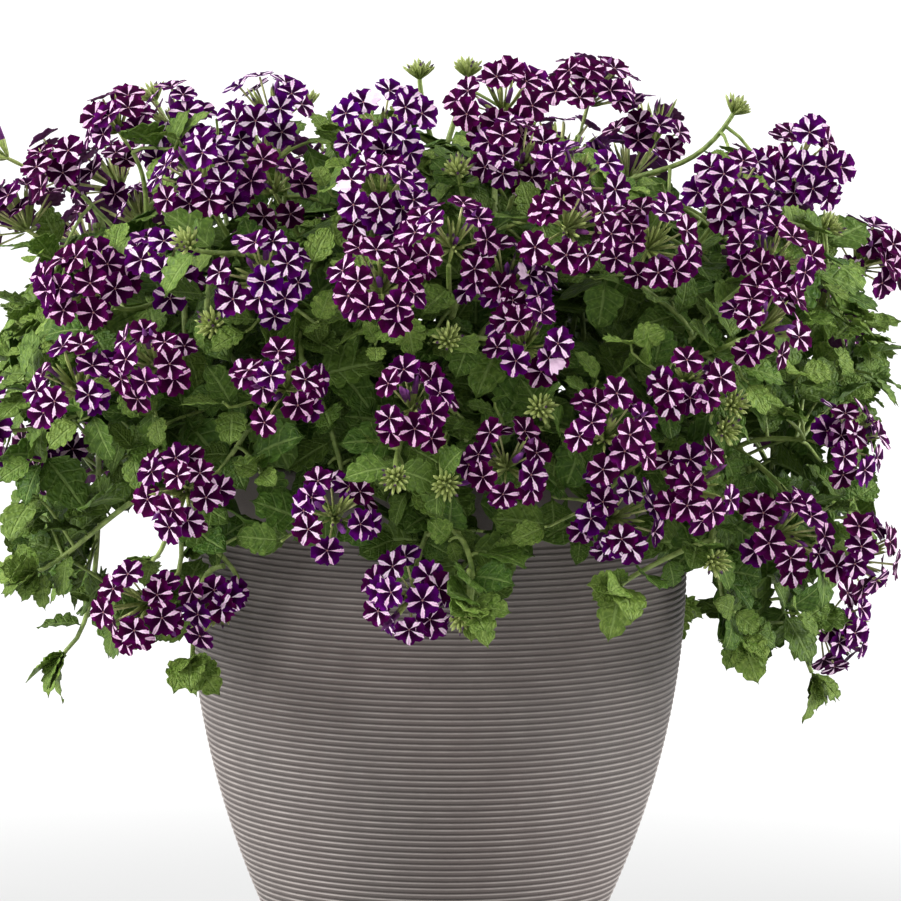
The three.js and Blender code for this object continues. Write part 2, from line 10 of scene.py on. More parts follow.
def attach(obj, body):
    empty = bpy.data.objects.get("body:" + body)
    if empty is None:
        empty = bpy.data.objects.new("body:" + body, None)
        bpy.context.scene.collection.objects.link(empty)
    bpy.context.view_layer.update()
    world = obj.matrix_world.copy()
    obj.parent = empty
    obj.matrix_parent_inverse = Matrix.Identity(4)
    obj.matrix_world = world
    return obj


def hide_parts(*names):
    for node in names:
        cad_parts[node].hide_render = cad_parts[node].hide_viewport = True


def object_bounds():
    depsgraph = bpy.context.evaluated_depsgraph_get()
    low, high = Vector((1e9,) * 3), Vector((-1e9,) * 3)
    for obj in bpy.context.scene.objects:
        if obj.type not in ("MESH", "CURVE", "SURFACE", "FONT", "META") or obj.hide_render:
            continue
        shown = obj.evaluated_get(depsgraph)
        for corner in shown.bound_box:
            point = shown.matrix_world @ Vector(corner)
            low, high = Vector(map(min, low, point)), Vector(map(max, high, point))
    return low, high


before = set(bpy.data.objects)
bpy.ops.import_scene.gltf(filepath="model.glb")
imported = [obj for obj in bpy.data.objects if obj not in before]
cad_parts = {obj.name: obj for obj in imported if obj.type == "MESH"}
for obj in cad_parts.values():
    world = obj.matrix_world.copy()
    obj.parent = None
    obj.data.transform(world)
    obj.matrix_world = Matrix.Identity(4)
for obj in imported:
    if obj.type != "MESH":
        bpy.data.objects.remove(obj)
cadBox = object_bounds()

mm = 0.001
dice = random.Random(2935)  # every random draw comes from here
between = dice.uniform
golden = math.pi * (3 - math.sqrt(5))  # the turn from each item to the next on an even spiral
upright = Vector((0, 0, 1))


# ---- camera, floor and light ----
viewFrom = {
    "aim": (0.007, 0, 0.3286),
    "distance": 5.0,
    "elevation": 7.0,  # degrees
    "roll": 0.7,
    "lens": 326,
    "sensor": 36,
}
studio = {
    "floorRadius": 60,
    "floorColour": (0.12, 0.12, 0.12, 1),
    "skyColour": (0.97, 0.985, 1.0, 1),
    "skyLight": 0.72,  # what the pale room gives the plant
    "skySeen": 1.0,  # how bright it looks itself
    "lamps": (  # where each soft light comes from, and how strong it is
        ((-1, -0.12, 0.52), 4.5),
        ((1, 0.05, 0.38), 3.5),
    ),
    "softness": 40,  # degrees
    "floorGlow": (0.6, 0.92),  # the floor's own painted glow, so that the plant's shadow stays faint
    "floorFade": (0.3, 1.1),  # from here to there, away from the pot, the floor's glow grows brighter: a painted soft shadow round the pot
}


def makeCamera():
    data = bpy.data.cameras.new("camera")
    data.lens = viewFrom["lens"]
    data.sensor_width = viewFrom["sensor"]
    tilt = math.radians(viewFrom["elevation"])
    back = Vector((0, -math.cos(tilt), math.sin(tilt)))
    camera = bpy.data.objects.new("camera", data)
    camera.location = Vector(viewFrom["aim"]) + back * viewFrom["distance"]
    camera.rotation_mode = "QUATERNION"
    roll = Quaternion((0, 0, 1), math.radians(viewFrom["roll"]))
    camera.rotation_quaternion = (-back).to_track_quat("-Z", "Y") @ roll
    bpy.context.scene.collection.objects.link(camera)
    bpy.context.scene.camera = camera


def makeSky(scene):
    world = bpy.data.worlds.new("paleSky")
    world.use_nodes = True
    tree = world.node_tree
    isSeen = addNode(tree, "LightPath").outputs["Is Camera Ray"]
    strength = ramp(tree, isSeen, 0, 1, studio["skyLight"], studio["skySeen"])
    tree.nodes["Background"].inputs["Color"].default_value = studio["skyColour"]
    tree.links.new(strength, tree.nodes["Background"].inputs["Strength"])
    scene.world = world


def makeStudio():
    scene = bpy.context.scene
    scene.view_settings.view_transform = "Standard"
    makeSky(scene)
    for number, (comesFrom, strength) in enumerate(studio["lamps"]):
        data = bpy.data.lights.new(f"lamp{number}", "SUN")
        data.energy = strength
        data.angle = math.radians(studio["softness"])
        lamp = bpy.data.objects.new(f"lamp{number}", data)
        lamp.rotation_euler = (-Vector(comesFrom)).to_track_quat("-Z", "Y").to_euler()
        scene.collection.objects.link(lamp)
    bm = bmesh.new()
    bmesh.ops.create_circle(bm, cap_ends=True, segments=96, radius=studio["floorRadius"])
    floor = objectFrom(bm, "floor", [floorMaterial()])


# ---- small helpers ----
def meshFrom(bm, name):
    mesh = bpy.data.meshes.new(name)
    bm.to_mesh(mesh)
    bm.free()
    return mesh


def objectFrom(bm, name, materials):
    mesh = meshFrom(bm, name)
    for material in materials:
        mesh.materials.append(material)
    made = bpy.data.objects.new(name, mesh)
    bpy.context.scene.collection.objects.link(made)
    return made


def smoothAndToned(mesh):
    # the tone is a colour for each copy, which its finish reads
    mesh.attributes.new("tone", "FLOAT_COLOR", "POINT")
    mesh.polygons.foreach_set("use_smooth", [True] * len(mesh.polygons))
    return mesh


def prototypeFrom(bm, name):
    # a mesh that is copied many times
    bmesh.ops.recalc_face_normals(bm, faces=bm.faces)
    return smoothAndToned(meshFrom(bm, name))


def mapPattern(bm, place):
    uv = bm.loops.layers.uv.new("pattern")
    for face in bm.faces:
        for loop in face.loops:
            loop[uv].uv = place(loop.vert.co)


def markRims(bm):
    bmesh.ops.recalc_face_normals(bm, faces=bm.faces)
    for edge in bm.edges:
        if len(edge.link_faces) == 2 and edge.calc_face_angle(0) > 0.9:
            edge.smooth = False


def addCopy(bm, prototype, matrix, tone=(0.5, 0.5, 0.5)):
    one = prototype.copy()
    one.transform(matrix)
    one.attributes["tone"].data.foreach_set("color", [*tone, 1] * len(one.vertices))
    bm.from_mesh(one)
    bpy.data.meshes.remove(one)


def standOn(at, across, ahead, face, size):
    # the place of a copy whose own X, Y and Z lie along three directions
    turn = Matrix((across, ahead, face)).transposed().to_4x4()
    return Matrix.Translation(at) @ turn @ Matrix.Diagonal((*size, 1))


def pointing(at, direction, size, spin=0.0):
    turn = direction.to_track_quat("Z", "Y") @ Quaternion((0, 0, 1), spin)
    return Matrix.Translation(at) @ turn.to_matrix().to_4x4() @ Matrix.Diagonal((*size, 1))


def onCircle(radius, angle, z=0):
    return Vector((radius * math.cos(angle), radius * math.sin(angle), z))


def wander(amount):
    return Vector((between(-amount, amount) for _ in range(3)))


def clamp(value, low=0, high=1):
    return min(high, max(low, value))


# ---- shader helpers ----
def srgb(r, g, b):
    # a colour as a screen shows it, 0 to 255, in the shader's own scale
    shown = (r / 255, g / 255, b / 255)
    return (*(c / 12.92 if c <= 0.04045 else ((c + 0.055) / 1.055) ** 2.4 for c in shown), 1)


def addNode(tree, kind, inputs=None, **settings):
    made = tree.nodes.new("ShaderNode" + kind)
    for key, value in settings.items():
        setattr(made, key, value)
    for key, value in (inputs or {}).items():
        if isinstance(value, bpy.types.NodeSocket):
            tree.links.new(value, made.inputs[key])
        else:
            made.inputs[key].default_value = value
    return made


def calc(tree, operation, *values):
    return addNode(tree, "Math", dict(enumerate(values)), operation=operation).outputs[0]


def times(tree, value, *factors):
    for factor in factors:
        value = calc(tree, "MULTIPLY", value, factor)
    return value


def ramp(tree, value, low, high, fromValue=0.0, toValue=1.0):
    inputs = {"Value": value, "From Min": low, "From Max": high, "To Min": fromValue, "To Max": toValue}
    return addNode(tree, "MapRange", inputs, interpolation_type="SMOOTHSTEP").outputs[0]


def blend(tree, share, first, second):
    # a colour given as three numbers is one that a screen shows
    inputs = {0: share, 6: first, 7: second}
    for key in (6, 7):
        if isinstance(inputs[key], tuple) and len(inputs[key]) == 3:
            inputs[key] = srgb(*inputs[key])
    return addNode(tree, "Mix", inputs, data_type="RGBA").outputs[2]


def newMaterial(name, roughness, specular=0.5):
    material = bpy.data.materials.new(name)
    material.use_nodes = True
    shader = material.node_tree.nodes["Principled BSDF"]
    shader.inputs["Roughness"].default_value = roughness
    shader.inputs["Specular IOR Level"].default_value = specular
    return material, material.node_tree, shader


def paint(material, colour, height=None, distance=0.0):
    # gives a finish its colour and, where it has one, the fine relief that is only bump
    tree = material.node_tree
    shader = tree.nodes["Principled BSDF"]
    tree.links.new(colour, shader.inputs["Base Color"])
    if height is not None:
        bump = addNode(tree, "Bump", {"Height": height, "Distance": distance, "Strength": 1.0})
        tree.links.new(bump.outputs["Normal"], shader.inputs["Normal"])
    return material


def objectPlace(tree):
    return addNode(tree, "TexCoord").outputs["Object"]


def mottleGroup():
    # uneven patches of the object's own surface, used by every material here
    tree = bpy.data.node_groups.new("mottle", "ShaderNodeTree")
    for name, value in {"Scale": 40.0, "Detail": 4.0, "Contrast": 1.0}.items():
        socket = tree.interface.new_socket(name, in_out="INPUT", socket_type="NodeSocketFloat")
        socket.default_value = value
    tree.interface.new_socket("Patches", in_out="OUTPUT", socket_type="NodeSocketFloat")
    given = tree.nodes.new("NodeGroupInput")
    made = tree.nodes.new("NodeGroupOutput")
    place = objectPlace(tree)
    inputs = {"Vector": place, "Scale": given.outputs["Scale"], "Detail": given.outputs["Detail"]}
    patches = addNode(tree, "TexNoise", inputs).outputs[0]
    around = calc(tree, "SUBTRACT", patches, 0.5)
    stretched = calc(tree, "MULTIPLY_ADD", around, given.outputs["Contrast"], 0.5)
    tree.links.new(addNode(tree, "Clamp", {0: stretched}).outputs[0], made.inputs["Patches"])
    return tree


mottle = mottleGroup()


def addPatches(tree, scale, detail=4.0, contrast=2.0):
    made = tree.nodes.new("ShaderNodeGroup")
    made.node_tree = mottle
    for key, value in {"Scale": scale, "Detail": detail, "Contrast": contrast}.items():
        made.inputs[key].default_value = value
    return made.outputs["Patches"]


def toneOf(tree):
    attribute = addNode(tree, "Attribute", attribute_name="tone")
    return addNode(tree, "SeparateColor", {0: attribute.outputs["Color"]}).outputs


def patternPlace(tree):
    uv = addNode(tree, "UVMap", uv_map="pattern").outputs[0]
    return uv, addNode(tree, "SeparateXYZ", {0: uv}).outputs


def floorMaterial():
    material, tree, shader = newMaterial("paleFloor", 0.8)
    # a dark floor that glows, painted light, dimmer near the pot as a painted soft shadow
    far = addNode(tree, "VectorMath", {0: objectPlace(tree)}, operation="LENGTH").outputs["Value"]
    glow = ramp(tree, far, *studio["floorFade"], *studio["floorGlow"])
    tree.links.new(glow, shader.inputs["Emission Strength"])
    shader.inputs["Emission Color"].default_value = (1, 1, 0.995, 1)
    darker = tuple(c * 0.985 for c in studio["floorColour"])
    return paint(material, blend(tree, addPatches(tree, 0.6), studio["floorColour"], darker))


# ---- the plant's growth, in millimetres: where every head and shoot is ----
potSizes = {
    "height": 330,
    "radius": 152.5,
    "bandBottom": 288,  # the smooth rim band starts here
    "bellyTop": 258,
    "bellyCurve": 0.001046,
    "wall": 4.5,
    "floor": 6,
    "rimLip": 1.5,
}
soilSizes = {
    "top": 305,
    "edge": 299,
    "gap": 0.4,
    "holeDepth": 32,
    "rings": 22,
    "sides": 72,
    "colours": ((30, 22, 16), (84, 64, 46)),
}
mound = {
    "halfWidth": 275,  # of the shell that the heads lie on
    "halfDepth": 240,
    "middle": 345,
    "up": 210,
    "down": 160,
    "squareness": 2.5,
    "droop": 1.6,
}
sector = {"count": 12, "start": math.radians(-97)}
heart = {"stem": 3, "radius": 105, "bottom": 372, "shootGap": 8}  # above the forks: all of it is one stem's
trunk = {
    "circle": 82,
    "steps": 4,
    "straight": 52,
    "forkCircle": 104,
    "forkHeight": 354,
    "forkRise": 25,
    "forks": (0.62, 0.36, 0.382),  # shoots fork from here on, over this much of it, each so far from the last
    "radii": (3.4, 2.4),
    "drawn": 10,  # in so many straight runs
}
branch = {
    "radius": 2.2,
    "stepLength": 110,
    "gap": 0.3,
    "clear": 2.6,
    "steepest": 120,
    "ownReach": 13,
    "joints": (0.3, 0.44, 0.58, 0.72),  # where other shoots may spring from it
    "shortest": 24,
    "widestTurn": 0.25,  # the cosine of it
    "radii": (1.9, 1.45),
    "drawn": 14,
}
bow = {
    "sides": (0, 10, -10, 22, -22),
    "lift": 16,
    "pull": 0.3,
    "pullStep": 0.14,
    "tries": 60,
    "rimReach": 40,
    "outside": 130,
    "hangFull": 60,
    "overOut": 14,
    "overUp": 58,
    "drop": 34,
}
bud = {
    "radius": 7.5,  # of an umbel of green buds
    "stalk": 2,
    "edgeGap": 0.5,
    "farEvery": 3,  # the far side has every third one
    "ahead": 12,
    "inset": 0.96,
    "step": 7,
    "tries": 12,
    "count": 26,
    "spread": 0.95,
    "size": ((1.5, 1.95), (1.05, 1.4)),  # of a bud: length as a share of the radius, own radius in mm
}

# heads of the near side, those that touch in one row: (across, height, radius) of each
nearBlooms = [
    [(-235, 500, 25), (-205, 490, 30)],
    [(-260, 465, 30), (-275, 505, 27)],
    [(-200, 530, 24), (-165, 525, 30)],
    [(-145, 505, 31), (-100, 502, 26)],
    [(-210, 445, 31), (-165, 455, 26)],
    [(-170, 405, 30), (-215, 390, 31)],
    [(-35, 500, 30), (-35, 540, 31)],
    [(-35, 455, 31), (5, 480, 30)],
    [(45, 520, 30), (35, 550, 31)],
    [(90, 550, 31), (130, 525, 32)],
    [(75, 490, 30), (80, 515, 27)],
    [(50, 420, 29), (40, 450, 31)],
    [(175, 500, 30), (215, 515, 30)],
    [(190, 430, 31), (195, 465, 31)],
    [(260, 450, 30), (240, 415, 30)],
    [(150, 335, 31), (105, 315, 31)],
    [(205, 305, 31), (250, 290, 29)],
    [(-175, 255, 31), (-131, 252, 26)],
    [(-265, 350, 29), (-235, 330, 28)],
    [(-105, 540, 31)],
    [(-105, 455, 32)],
    [(-90, 395, 31)],
    [(-15, 385, 30)],
    [(125, 475, 31)],
    [(145, 400, 25)],
    [(40, 350, 31)],
    [(100, 370, 31)],
    [(240, 355, 31)],
    [(-150, 330, 31)],
    [(-60, 320, 31)],
    [(-15, 270, 31)],
    [(245, 220, 31)],
]
farBlooms = [
    [(-225, 440, 30), (-190, 460, 30)],
    [(-110, 430, 31), (-68, 445, 30)],
    [(20, 440, 31), (60, 425, 30)],
    [(150, 440, 31), (190, 425, 30)],
    [(-205, 300, 30), (-170, 330, 31)],
    [(-60, 325, 31)],
    [(40, 290, 30), (80, 310, 31)],
    [(165, 320, 30), (205, 340, 31)],
    [(-110, 240, 31)],
    [(130, 235, 31)],
]
# heads on the crown: (across, back, height, radius)
crownBlooms = [
    [(-150, 75, 495, 30), (-112, 98, 500, 31)],
    [(-62, 70, 497, 31), (-30, 95, 475, 30)],
    [(75, 70, 505, 31), (115, 92, 495, 30)],
    [(190, 80, 485, 31), (205, 118, 470, 30)],
]
bloom = {"touch": 0.8, "back": 0.9, "apart": 0.6, "step": 4, "tries": 40}
nearBuds = [
    (-15, 565), (-85, 548), (-150, 478), (-135, 430), (5, 425), (10, 520), (180, 545), (235, 480),
    (175, 385), (60, 385), (165, 290), (170, 370), (5, 340), (-25, 345), (15, 260),
]
nearHangers = [(-245, 265), (-150, 215), (185, 235), (235, 195), (20, 265), (110, 275)]
heartShoots = [(0, 0, 458), (52, -42, 442), (-52, -48, 442), (10, 58, 430), (-84, 12, 436), (84, 6, 440)]


def potRadius(z):
    below = np.maximum(0, potSizes["bellyTop"] - z)
    return potSizes["radius"] - potSizes["bellyCurve"] * below * below


def reachAt(z):
    return mound["up"] if z > mound["middle"] else mound["down"]


def shellDepth(x, z):
    n = mound["squareness"]
    left = 1 - abs(x / mound["halfWidth"]) ** n - abs((z - mound["middle"]) / reachAt(z)) ** n
    return mound["halfDepth"] * max(0, left) ** (1 / n)


def shellShare(at):
    # 0 in the middle of the mound and 1 on its shell
    n = mound["squareness"]
    rise = (at[2] - mound["middle"]) / reachAt(at[2])
    shares = (at[0] / mound["halfWidth"], at[1] / mound["halfDepth"], rise)
    return sum(abs(share) ** n for share in shares) ** (1 / n)


def outward(at):
    reach = mound["up"] if at[2] > mound["middle"] else mound["down"] * mound["droop"]
    rise = (at[2] - mound["middle"]) / reach ** 2
    return Vector((at[0] / mound["halfWidth"] ** 2, at[1] / mound["halfDepth"] ** 2, rise)).normalized()


def nearSpray(rows):
    firstX, firstZ, firstRadius = rows[0]
    spray = []
    for i, (x, z, radius) in enumerate(rows):
        aside = math.hypot(x - firstX, z - firstZ)
        apart = bloom["touch"] * (radius + firstRadius)
        behind = math.sqrt(max(0, apart ** 2 - aside ** 2)) if i else 0
        spray.append((Vector((x, behind - shellDepth(firstX, firstZ), z)), radius))
    return spray


def toAndFro(step):
    # 0, 1, -1, 2, -2 and so on
    return (1 if step % 2 else -1) * math.ceil(step / 2)


def settled(spray, others):
    # a spray that meets another one is moved in or out of the mound until it is clear
    for step in range(bloom["tries"]):
        shift = Vector((0, toAndFro(step) * bloom["step"], 0))
        moved = [(at + shift, radius) for at, radius in spray]
        gaps = [(a - b).length - ra - rb for other in others for b, rb in other for a, ra in moved]
        if min(gaps, default=1) > bloom["apart"]:
            return moved
    raise RuntimeError("no room for a spray")


def bloomSprays():
    turn = Matrix.Diagonal((1, -1, 1))
    turned = [[(turn @ at, radius) for at, radius in nearSpray(rows)] for rows in farBlooms]
    crown = [[(Vector((x, y, z)), radius) for x, y, z, radius in rows] for rows in crownBlooms]
    sprays = []
    for spray in [*map(nearSpray, nearBlooms), *crown, *turned]:
        sprays.append(settled(spray, sprays))
    return sprays


sprays = bloomSprays()
bloomAt = np.array([at for spray in sprays for at, _ in spray])
bloomRadius = np.array([radius for spray in sprays for _, radius in spray])


def sectorAngle(index):
    return sector["start"] + (index + 0.5) * 2 * math.pi / sector["count"]


def sectorOf(at):
    if at[2] > heart["bottom"] and math.hypot(at[0], at[1]) < heart["radius"]:
        return heart["stem"]
    turn = (math.atan2(at[1], at[0]) - sector["start"]) / (2 * math.pi)
    return int((turn - math.floor(turn)) * sector["count"])


def insideSector(at, index):
    half = math.pi / sector["count"]
    a = np.arctan2(at[..., 1], at[..., 0]) - sectorAngle(index)
    aside = np.abs(np.arctan2(np.sin(a), np.cos(a)))
    r, z = np.hypot(at[..., 0], at[..., 1]), at[..., 2]
    inWedge = np.where(aside > half, -1, r * np.sin(half - aside))
    inHeart = np.minimum(heart["radius"] - r, z - heart["bottom"])
    if index == heart["stem"]:
        above = np.maximum(inWedge, inHeart)
    else:
        above = np.minimum(inWedge, r - heart["radius"])
    return np.where(z < heart["bottom"], inWedge, above)


def clearOfPot(at, margin):
    r, z = np.hypot(at[..., 0], at[..., 1]), at[..., 2]
    above = z > potSizes["height"] + margin
    outside = r > potRadius(z) + potSizes["rimLip"] + margin
    inside = (r < potSizes["radius"] - potSizes["wall"] - 3 - margin) & (z > soilSizes["top"] + margin)
    return above | outside | inside


def clearOfBlooms(at, margin, without=None):
    far = np.linalg.norm(at[..., None, :] - bloomAt, axis=-1) > bloomRadius + margin
    if without is not None:
        far[..., without] = True
    return far.all(axis=-1)


def evenPoints(ends, count):
    # points evenly spaced along a curve given by its two ends and two handles, and its length
    t = np.linspace(0, 1, 201)[:, None]
    a, b, c, d = ends
    fine = (1 - t) ** 3 * a + 3 * (1 - t) ** 2 * t * b + 3 * (1 - t) * t * t * c + t ** 3 * d
    run = np.concatenate([[0], np.cumsum(np.linalg.norm(np.diff(fine, axis=0), axis=1))])
    even = np.linspace(0, run[-1], count + 1)
    return np.stack([np.interp(even, run, fine[:, k]) for k in range(3)], axis=1), run[-1]


def alongRings(rings, shares):
    steps = len(rings) - 1
    at = np.linspace(0, 1, steps + 1)
    return np.stack([np.interp(shares, at, rings[:, k]) for k in range(3)], axis=-1)


def jointOn(rings, share):
    k = min(int(share * (len(rings) - 1)), len(rings) - 2)
    along = Vector(rings[k + 1] - rings[k]).normalized()
    return {"at": Vector(alongRings(rings, share)), "along": along, "used": False}


def trunkEnds(index):
    angle = sectorAngle(index)
    foot = onCircle(trunk["circle"], angle, soilSizes["top"] - soilSizes["holeDepth"] + branch["gap"])
    top = onCircle(trunk["forkCircle"], angle, trunk["forkHeight"])
    return [foot, foot + upright * trunk["straight"], top - upright * trunk["forkRise"], top]


stalkTurns = 9
stalkTurn = 0.09  # radians
stalkTilts = (0, 0.3, -0.3, 0.6, -0.6, 0.9)
probeShares = np.arange(1, 21) / 20
shoots = [[] for _ in range(sector["count"])]
trunkRings = [evenPoints(trunkEnds(k), trunk["steps"])[0] for k in range(sector["count"])]


def stalkBase(at, reach, attempt):
    turn = (1 if attempt % 2 else -1) * math.ceil((attempt % stalkTurns) / 2) * stalkTurn
    facing = Quaternion(upright, turn) @ outward(at)
    facing = (facing + upright * stalkTilts[attempt // stalkTurns]).normalized()
    base = at - facing * reach
    return base, facing, sectorOf(base)


def hangOver(start, base):
    below = potSizes["height"] + bow["rimReach"] - base.z
    startsInside = math.hypot(start.x, start.y) < potSizes["radius"]
    crossesRim = startsInside and math.hypot(base.x, base.y) > bow["outside"]
    return clamp(below / bow["hangFull"]) if crossesRim else 0


def shootEnds(start, base, facing, index, own):
    # a shoot from a start to a base, bowed until it is clear of the pot and of the heads
    far = (base - start).length
    angle = math.atan2(base.y, base.x)
    hangs = hangOver(start, base)
    across = Vector((-math.sin(angle), math.cos(angle), 0))
    for attempt in range(bow["tries"]):
        side = bow["sides"][attempt % 5]
        lift = (attempt // 5) % 4 * bow["lift"]
        pull = bow["pull"] + bow["pullStep"] * (attempt // 20)
        rise = start.lerp(base, 0.25) + upright * (0.2 * far + lift)
        overAt = potSizes["radius"] + bow["overOut"] + lift / 2
        over = onCircle(overAt, angle, potSizes["height"] + bow["overUp"] + lift)
        first = rise.lerp(over, hangs) + across * side
        second = base - facing * pull * min(far, branch["steepest"]) + upright * hangs * bow["drop"]
        ends = [start, first, second + across * side * 0.6, base]
        length = evenPoints(ends, 1)[1]
        rings = evenPoints(ends, max(2, round(length / branch["stepLength"])))[0]
        probes = alongRings(rings, probeShares)
        nearBase = np.linalg.norm(probes - np.array(base), axis=1) < branch["ownReach"]
        free = clearOfBlooms(probes, branch["clear"])
        free |= nearBase & clearOfBlooms(probes, branch["clear"], own)
        free &= insideSector(probes, index) > branch["radius"] + 0.5
        free &= clearOfPot(probes, branch["radius"] + 1)
        if free.all():
            return ends, rings
    return None


def springsFor(index, base):
    usable = []
    for shoot in shoots[index]:
        for joint in shoot["joints"]:
            way = base - joint["at"]
            isAhead = way.dot(joint["along"]) > branch["widestTurn"] * way.length
            if isAhead and not joint["used"] and way.length > branch["shortest"]:
                usable.append(joint)
    usable.sort(key=lambda joint: (joint["at"] - base).length)
    start, reach, step = trunk["forks"]
    share = start + reach * ((len(shoots[index]) * step) % 1)
    return [*usable[:4], jointOn(trunkRings[index], share), jointOn(trunkRings[index], 0.98)]


def seated(at, reach, own=None):
    for attempt in range(stalkTurns * len(stalkTilts)):
        base, facing, index = stalkBase(at, reach, attempt)
        if insideSector(np.array(base), index) < branch["radius"] + 0.6:
            continue
        for spring in springsFor(index, base):
            found = shootEnds(spring["at"], base, facing, index, own)
            if found:
                spring["used"] = True
                return {"index": index, "ends": found[0], "rings": found[1], "facing": facing}
    return None


def addShoot(seat, **extra):
    seat["joints"] = [jointOn(seat["rings"], share) for share in branch["joints"]]
    seat.update(extra)
    shoots[seat["index"]].append(seat)


def sideShoot(x, z, turned, hasBud):
    back = 1 if turned else -1
    depth = shellDepth(x * bud["inset"], z) + bud["ahead"]
    for step in range(bud["tries"]):
        spot = Vector((-back * x, back * (depth + toAndFro(step) * bud["step"]), z))
        if not clearOfBlooms(np.array(spot), bud["radius"] + 2):
            continue
        seat = seated(spot, bud["stalk"] if hasBud else bud["radius"])
        if seat and insideSector(np.array(spot), seat["index"]) >= bud["radius"] + bud["edgeGap"]:
            addShoot(seat, kind="bud" if hasBud else "leafy", spot=spot)
            return


def growShoots():
    for i in range(len(bloomAt)):
        at, radius = Vector(bloomAt[i]), bloomRadius[i]
        seat = seated(at, radius * bloom["back"] + branch["gap"], i)
        addShoot(seat, kind="bloom", spot=at)
        facings.append(seat["facing"])
    for row in heartShoots:
        addShoot(seated(Vector(row), heart["shootGap"]), kind="leafy", spot=Vector(row))
    for isFar, buds in ((False, nearBuds), (True, nearBuds[::bud["farEvery"]])):
        for x, z in buds:
            sideShoot(x, z, isFar, True)
        for x, z in nearHangers:
            sideShoot(x, z, isFar, False)


facings = []
growShoots()
print("shoots:", [len(some) for some in shoots])


# ---- sprigs: short leafy side shoots that fill the mound between the heads ----
sprig = {
    "layers": (  # how far out towards the shell they end, and how many are tried
        (0.9, 1.0, 700),
        (0.66, 0.86, 400),
        (0.35, 0.6, 110),
    ),
    "outer": 0.88,
    # parts of the mound with fewer sprigs: (from, to) across, (from, to) in height, and the share kept
    "thin": (
        ((-300, -190), (0, 340), 0.5),
        ((190, 300), (0, 340), 0.5),
        ((-300, -60), (430, 600), 0.6),
        ((60, 300), (430, 600), 0.75),
    ),
    "headGap": 5,
    "potGap": 14,
    "boxGap": 8,
    "longest": 95,
    "lean": 0.3,
    "radii": (1.2, 0.8),
    "drawn": 5,
}
# the lowest that leaves hang on the near side and the highest that they rise, as (across, height)
fringe = [
    (-290, 255), (-235, 235), (-200, 212), (-150, 228), (-125, 290), (-55, 288), (-20, 248), (30, 248),
    (75, 285), (140, 272), (172, 215), (220, 200), (280, 215),
]
skyline = [
    (-270, 489), (-232, 514), (-195, 526), (-146, 537), (-116, 545), (-91, 532), (-48, 540), (-24, 540),
    (0, 514), (19, 526), (43, 546), (98, 552), (123, 537), (154, 495), (172, 527), (221, 512), (270, 474),
]
lookDown = 0.123  # what lies farther back shows this much higher
# where the background shows between the leaves: (across, height, half width, half height)
openings = [
    (-134, 470, 9, 6), (-121, 509, 9, 5), (-266, 430, 5, 10), (-183, 268, 28, 20), (-160, 286, 12, 14),
    (197, 328, 10, 11), (273, 292, 10, 18), (252, 273, 12, 12), (160, 249, 9, 10), (202, 233, 7, 10),
    (154, 480, 8, 15),
]
# where heads stand clear of the leaves, given in the same way
clearings = [(91, 545, 40, 25), (128, 520, 32, 28), (-208, 490, 30, 28)]
boxLow, boxHigh = (np.array(corner) / mm for corner in cadBox)
boxSlack = 10  # leaves may pass the model's box by this much


def inOutline(at, gaps=openings):
    side = np.where(at[..., 1] < 0, 1, -1)
    seenAt = at[..., 2] + lookDown * at[..., 1]
    isOut = seenAt > np.interp(at[..., 0], *zip(*skyline))
    for x, z, wide, high in gaps:
        isOut |= ((at[..., 0] - x) / wide) ** 2 + ((seenAt - z) / high) ** 2 < 1
    return (at[..., 2] > np.interp(at[..., 0] * side, *zip(*fringe))) & ~isOut


def spreadWays(count):
    # directions spread evenly all round
    for k in range(count):
        z = 1 - 2 * (k + 0.5) / count
        turn = k * golden
        level = math.sqrt(1 - z * z)
        yield Vector((level * math.cos(turn) * 1.15, level * math.sin(turn), z)) * 100


def isThinned(at):
    for (left, right), (low, high), kept in sprig["thin"]:
        if left < at[0] < right and low < at[2] < high and dice.random() > kept:
            return True
    return False


def growSprigs():
    stemPoints, owners = [], []
    for index, some in enumerate(shoots):
        for shoot in some:
            points, _ = evenPoints(shoot["ends"], 24)
            stemPoints.extend(points[2:])
            owners.extend([index] * (len(points) - 2))
    stemPoints = np.array(stemPoints)
    middle = Vector((0, 0, mound["middle"]))
    made = 0
    for nearest, farthest, count in sprig["layers"]:
        for way in spreadWays(count):
            share = between(nearest, farthest)
            spot = middle + way * share / shellShare(middle + way) + wander(6)
            at = np.array(spot)
            isOut = (at < boxLow + sprig["boxGap"]).any() or (at > boxHigh - sprig["boxGap"]).any()
            isOut = isOut or not inOutline(np.array((at - (0, 0, 12), at + (0, 0, 6)))).all()
            if isOut or not clearOfPot(at, sprig["potGap"]) or not clearOfBlooms(at, sprig["headGap"]):
                continue
            if isThinned(at):
                continue
            gaps = np.linalg.norm(stemPoints - at, axis=1)
            spring = int(gaps.argmin())
            if gaps[spring] > sprig["longest"]:
                continue
            start = Vector(stemPoints[spring])
            facing = (outward(spot) + upright * sprig["lean"] + wander(0.25)).normalized()
            if not inOutline(at, clearings):
                continue
            ends = [start, start.lerp(spot, 0.35) + upright * 5, spot - facing * gaps[spring] * 0.35, spot]
            shoots[owners[spring]].append(
                {"ends": ends, "kind": "sprig", "facing": facing, "isInner": nearest < sprig["outer"]}
            )
            made += 1
    return made


print("sprigs:", growSprigs())


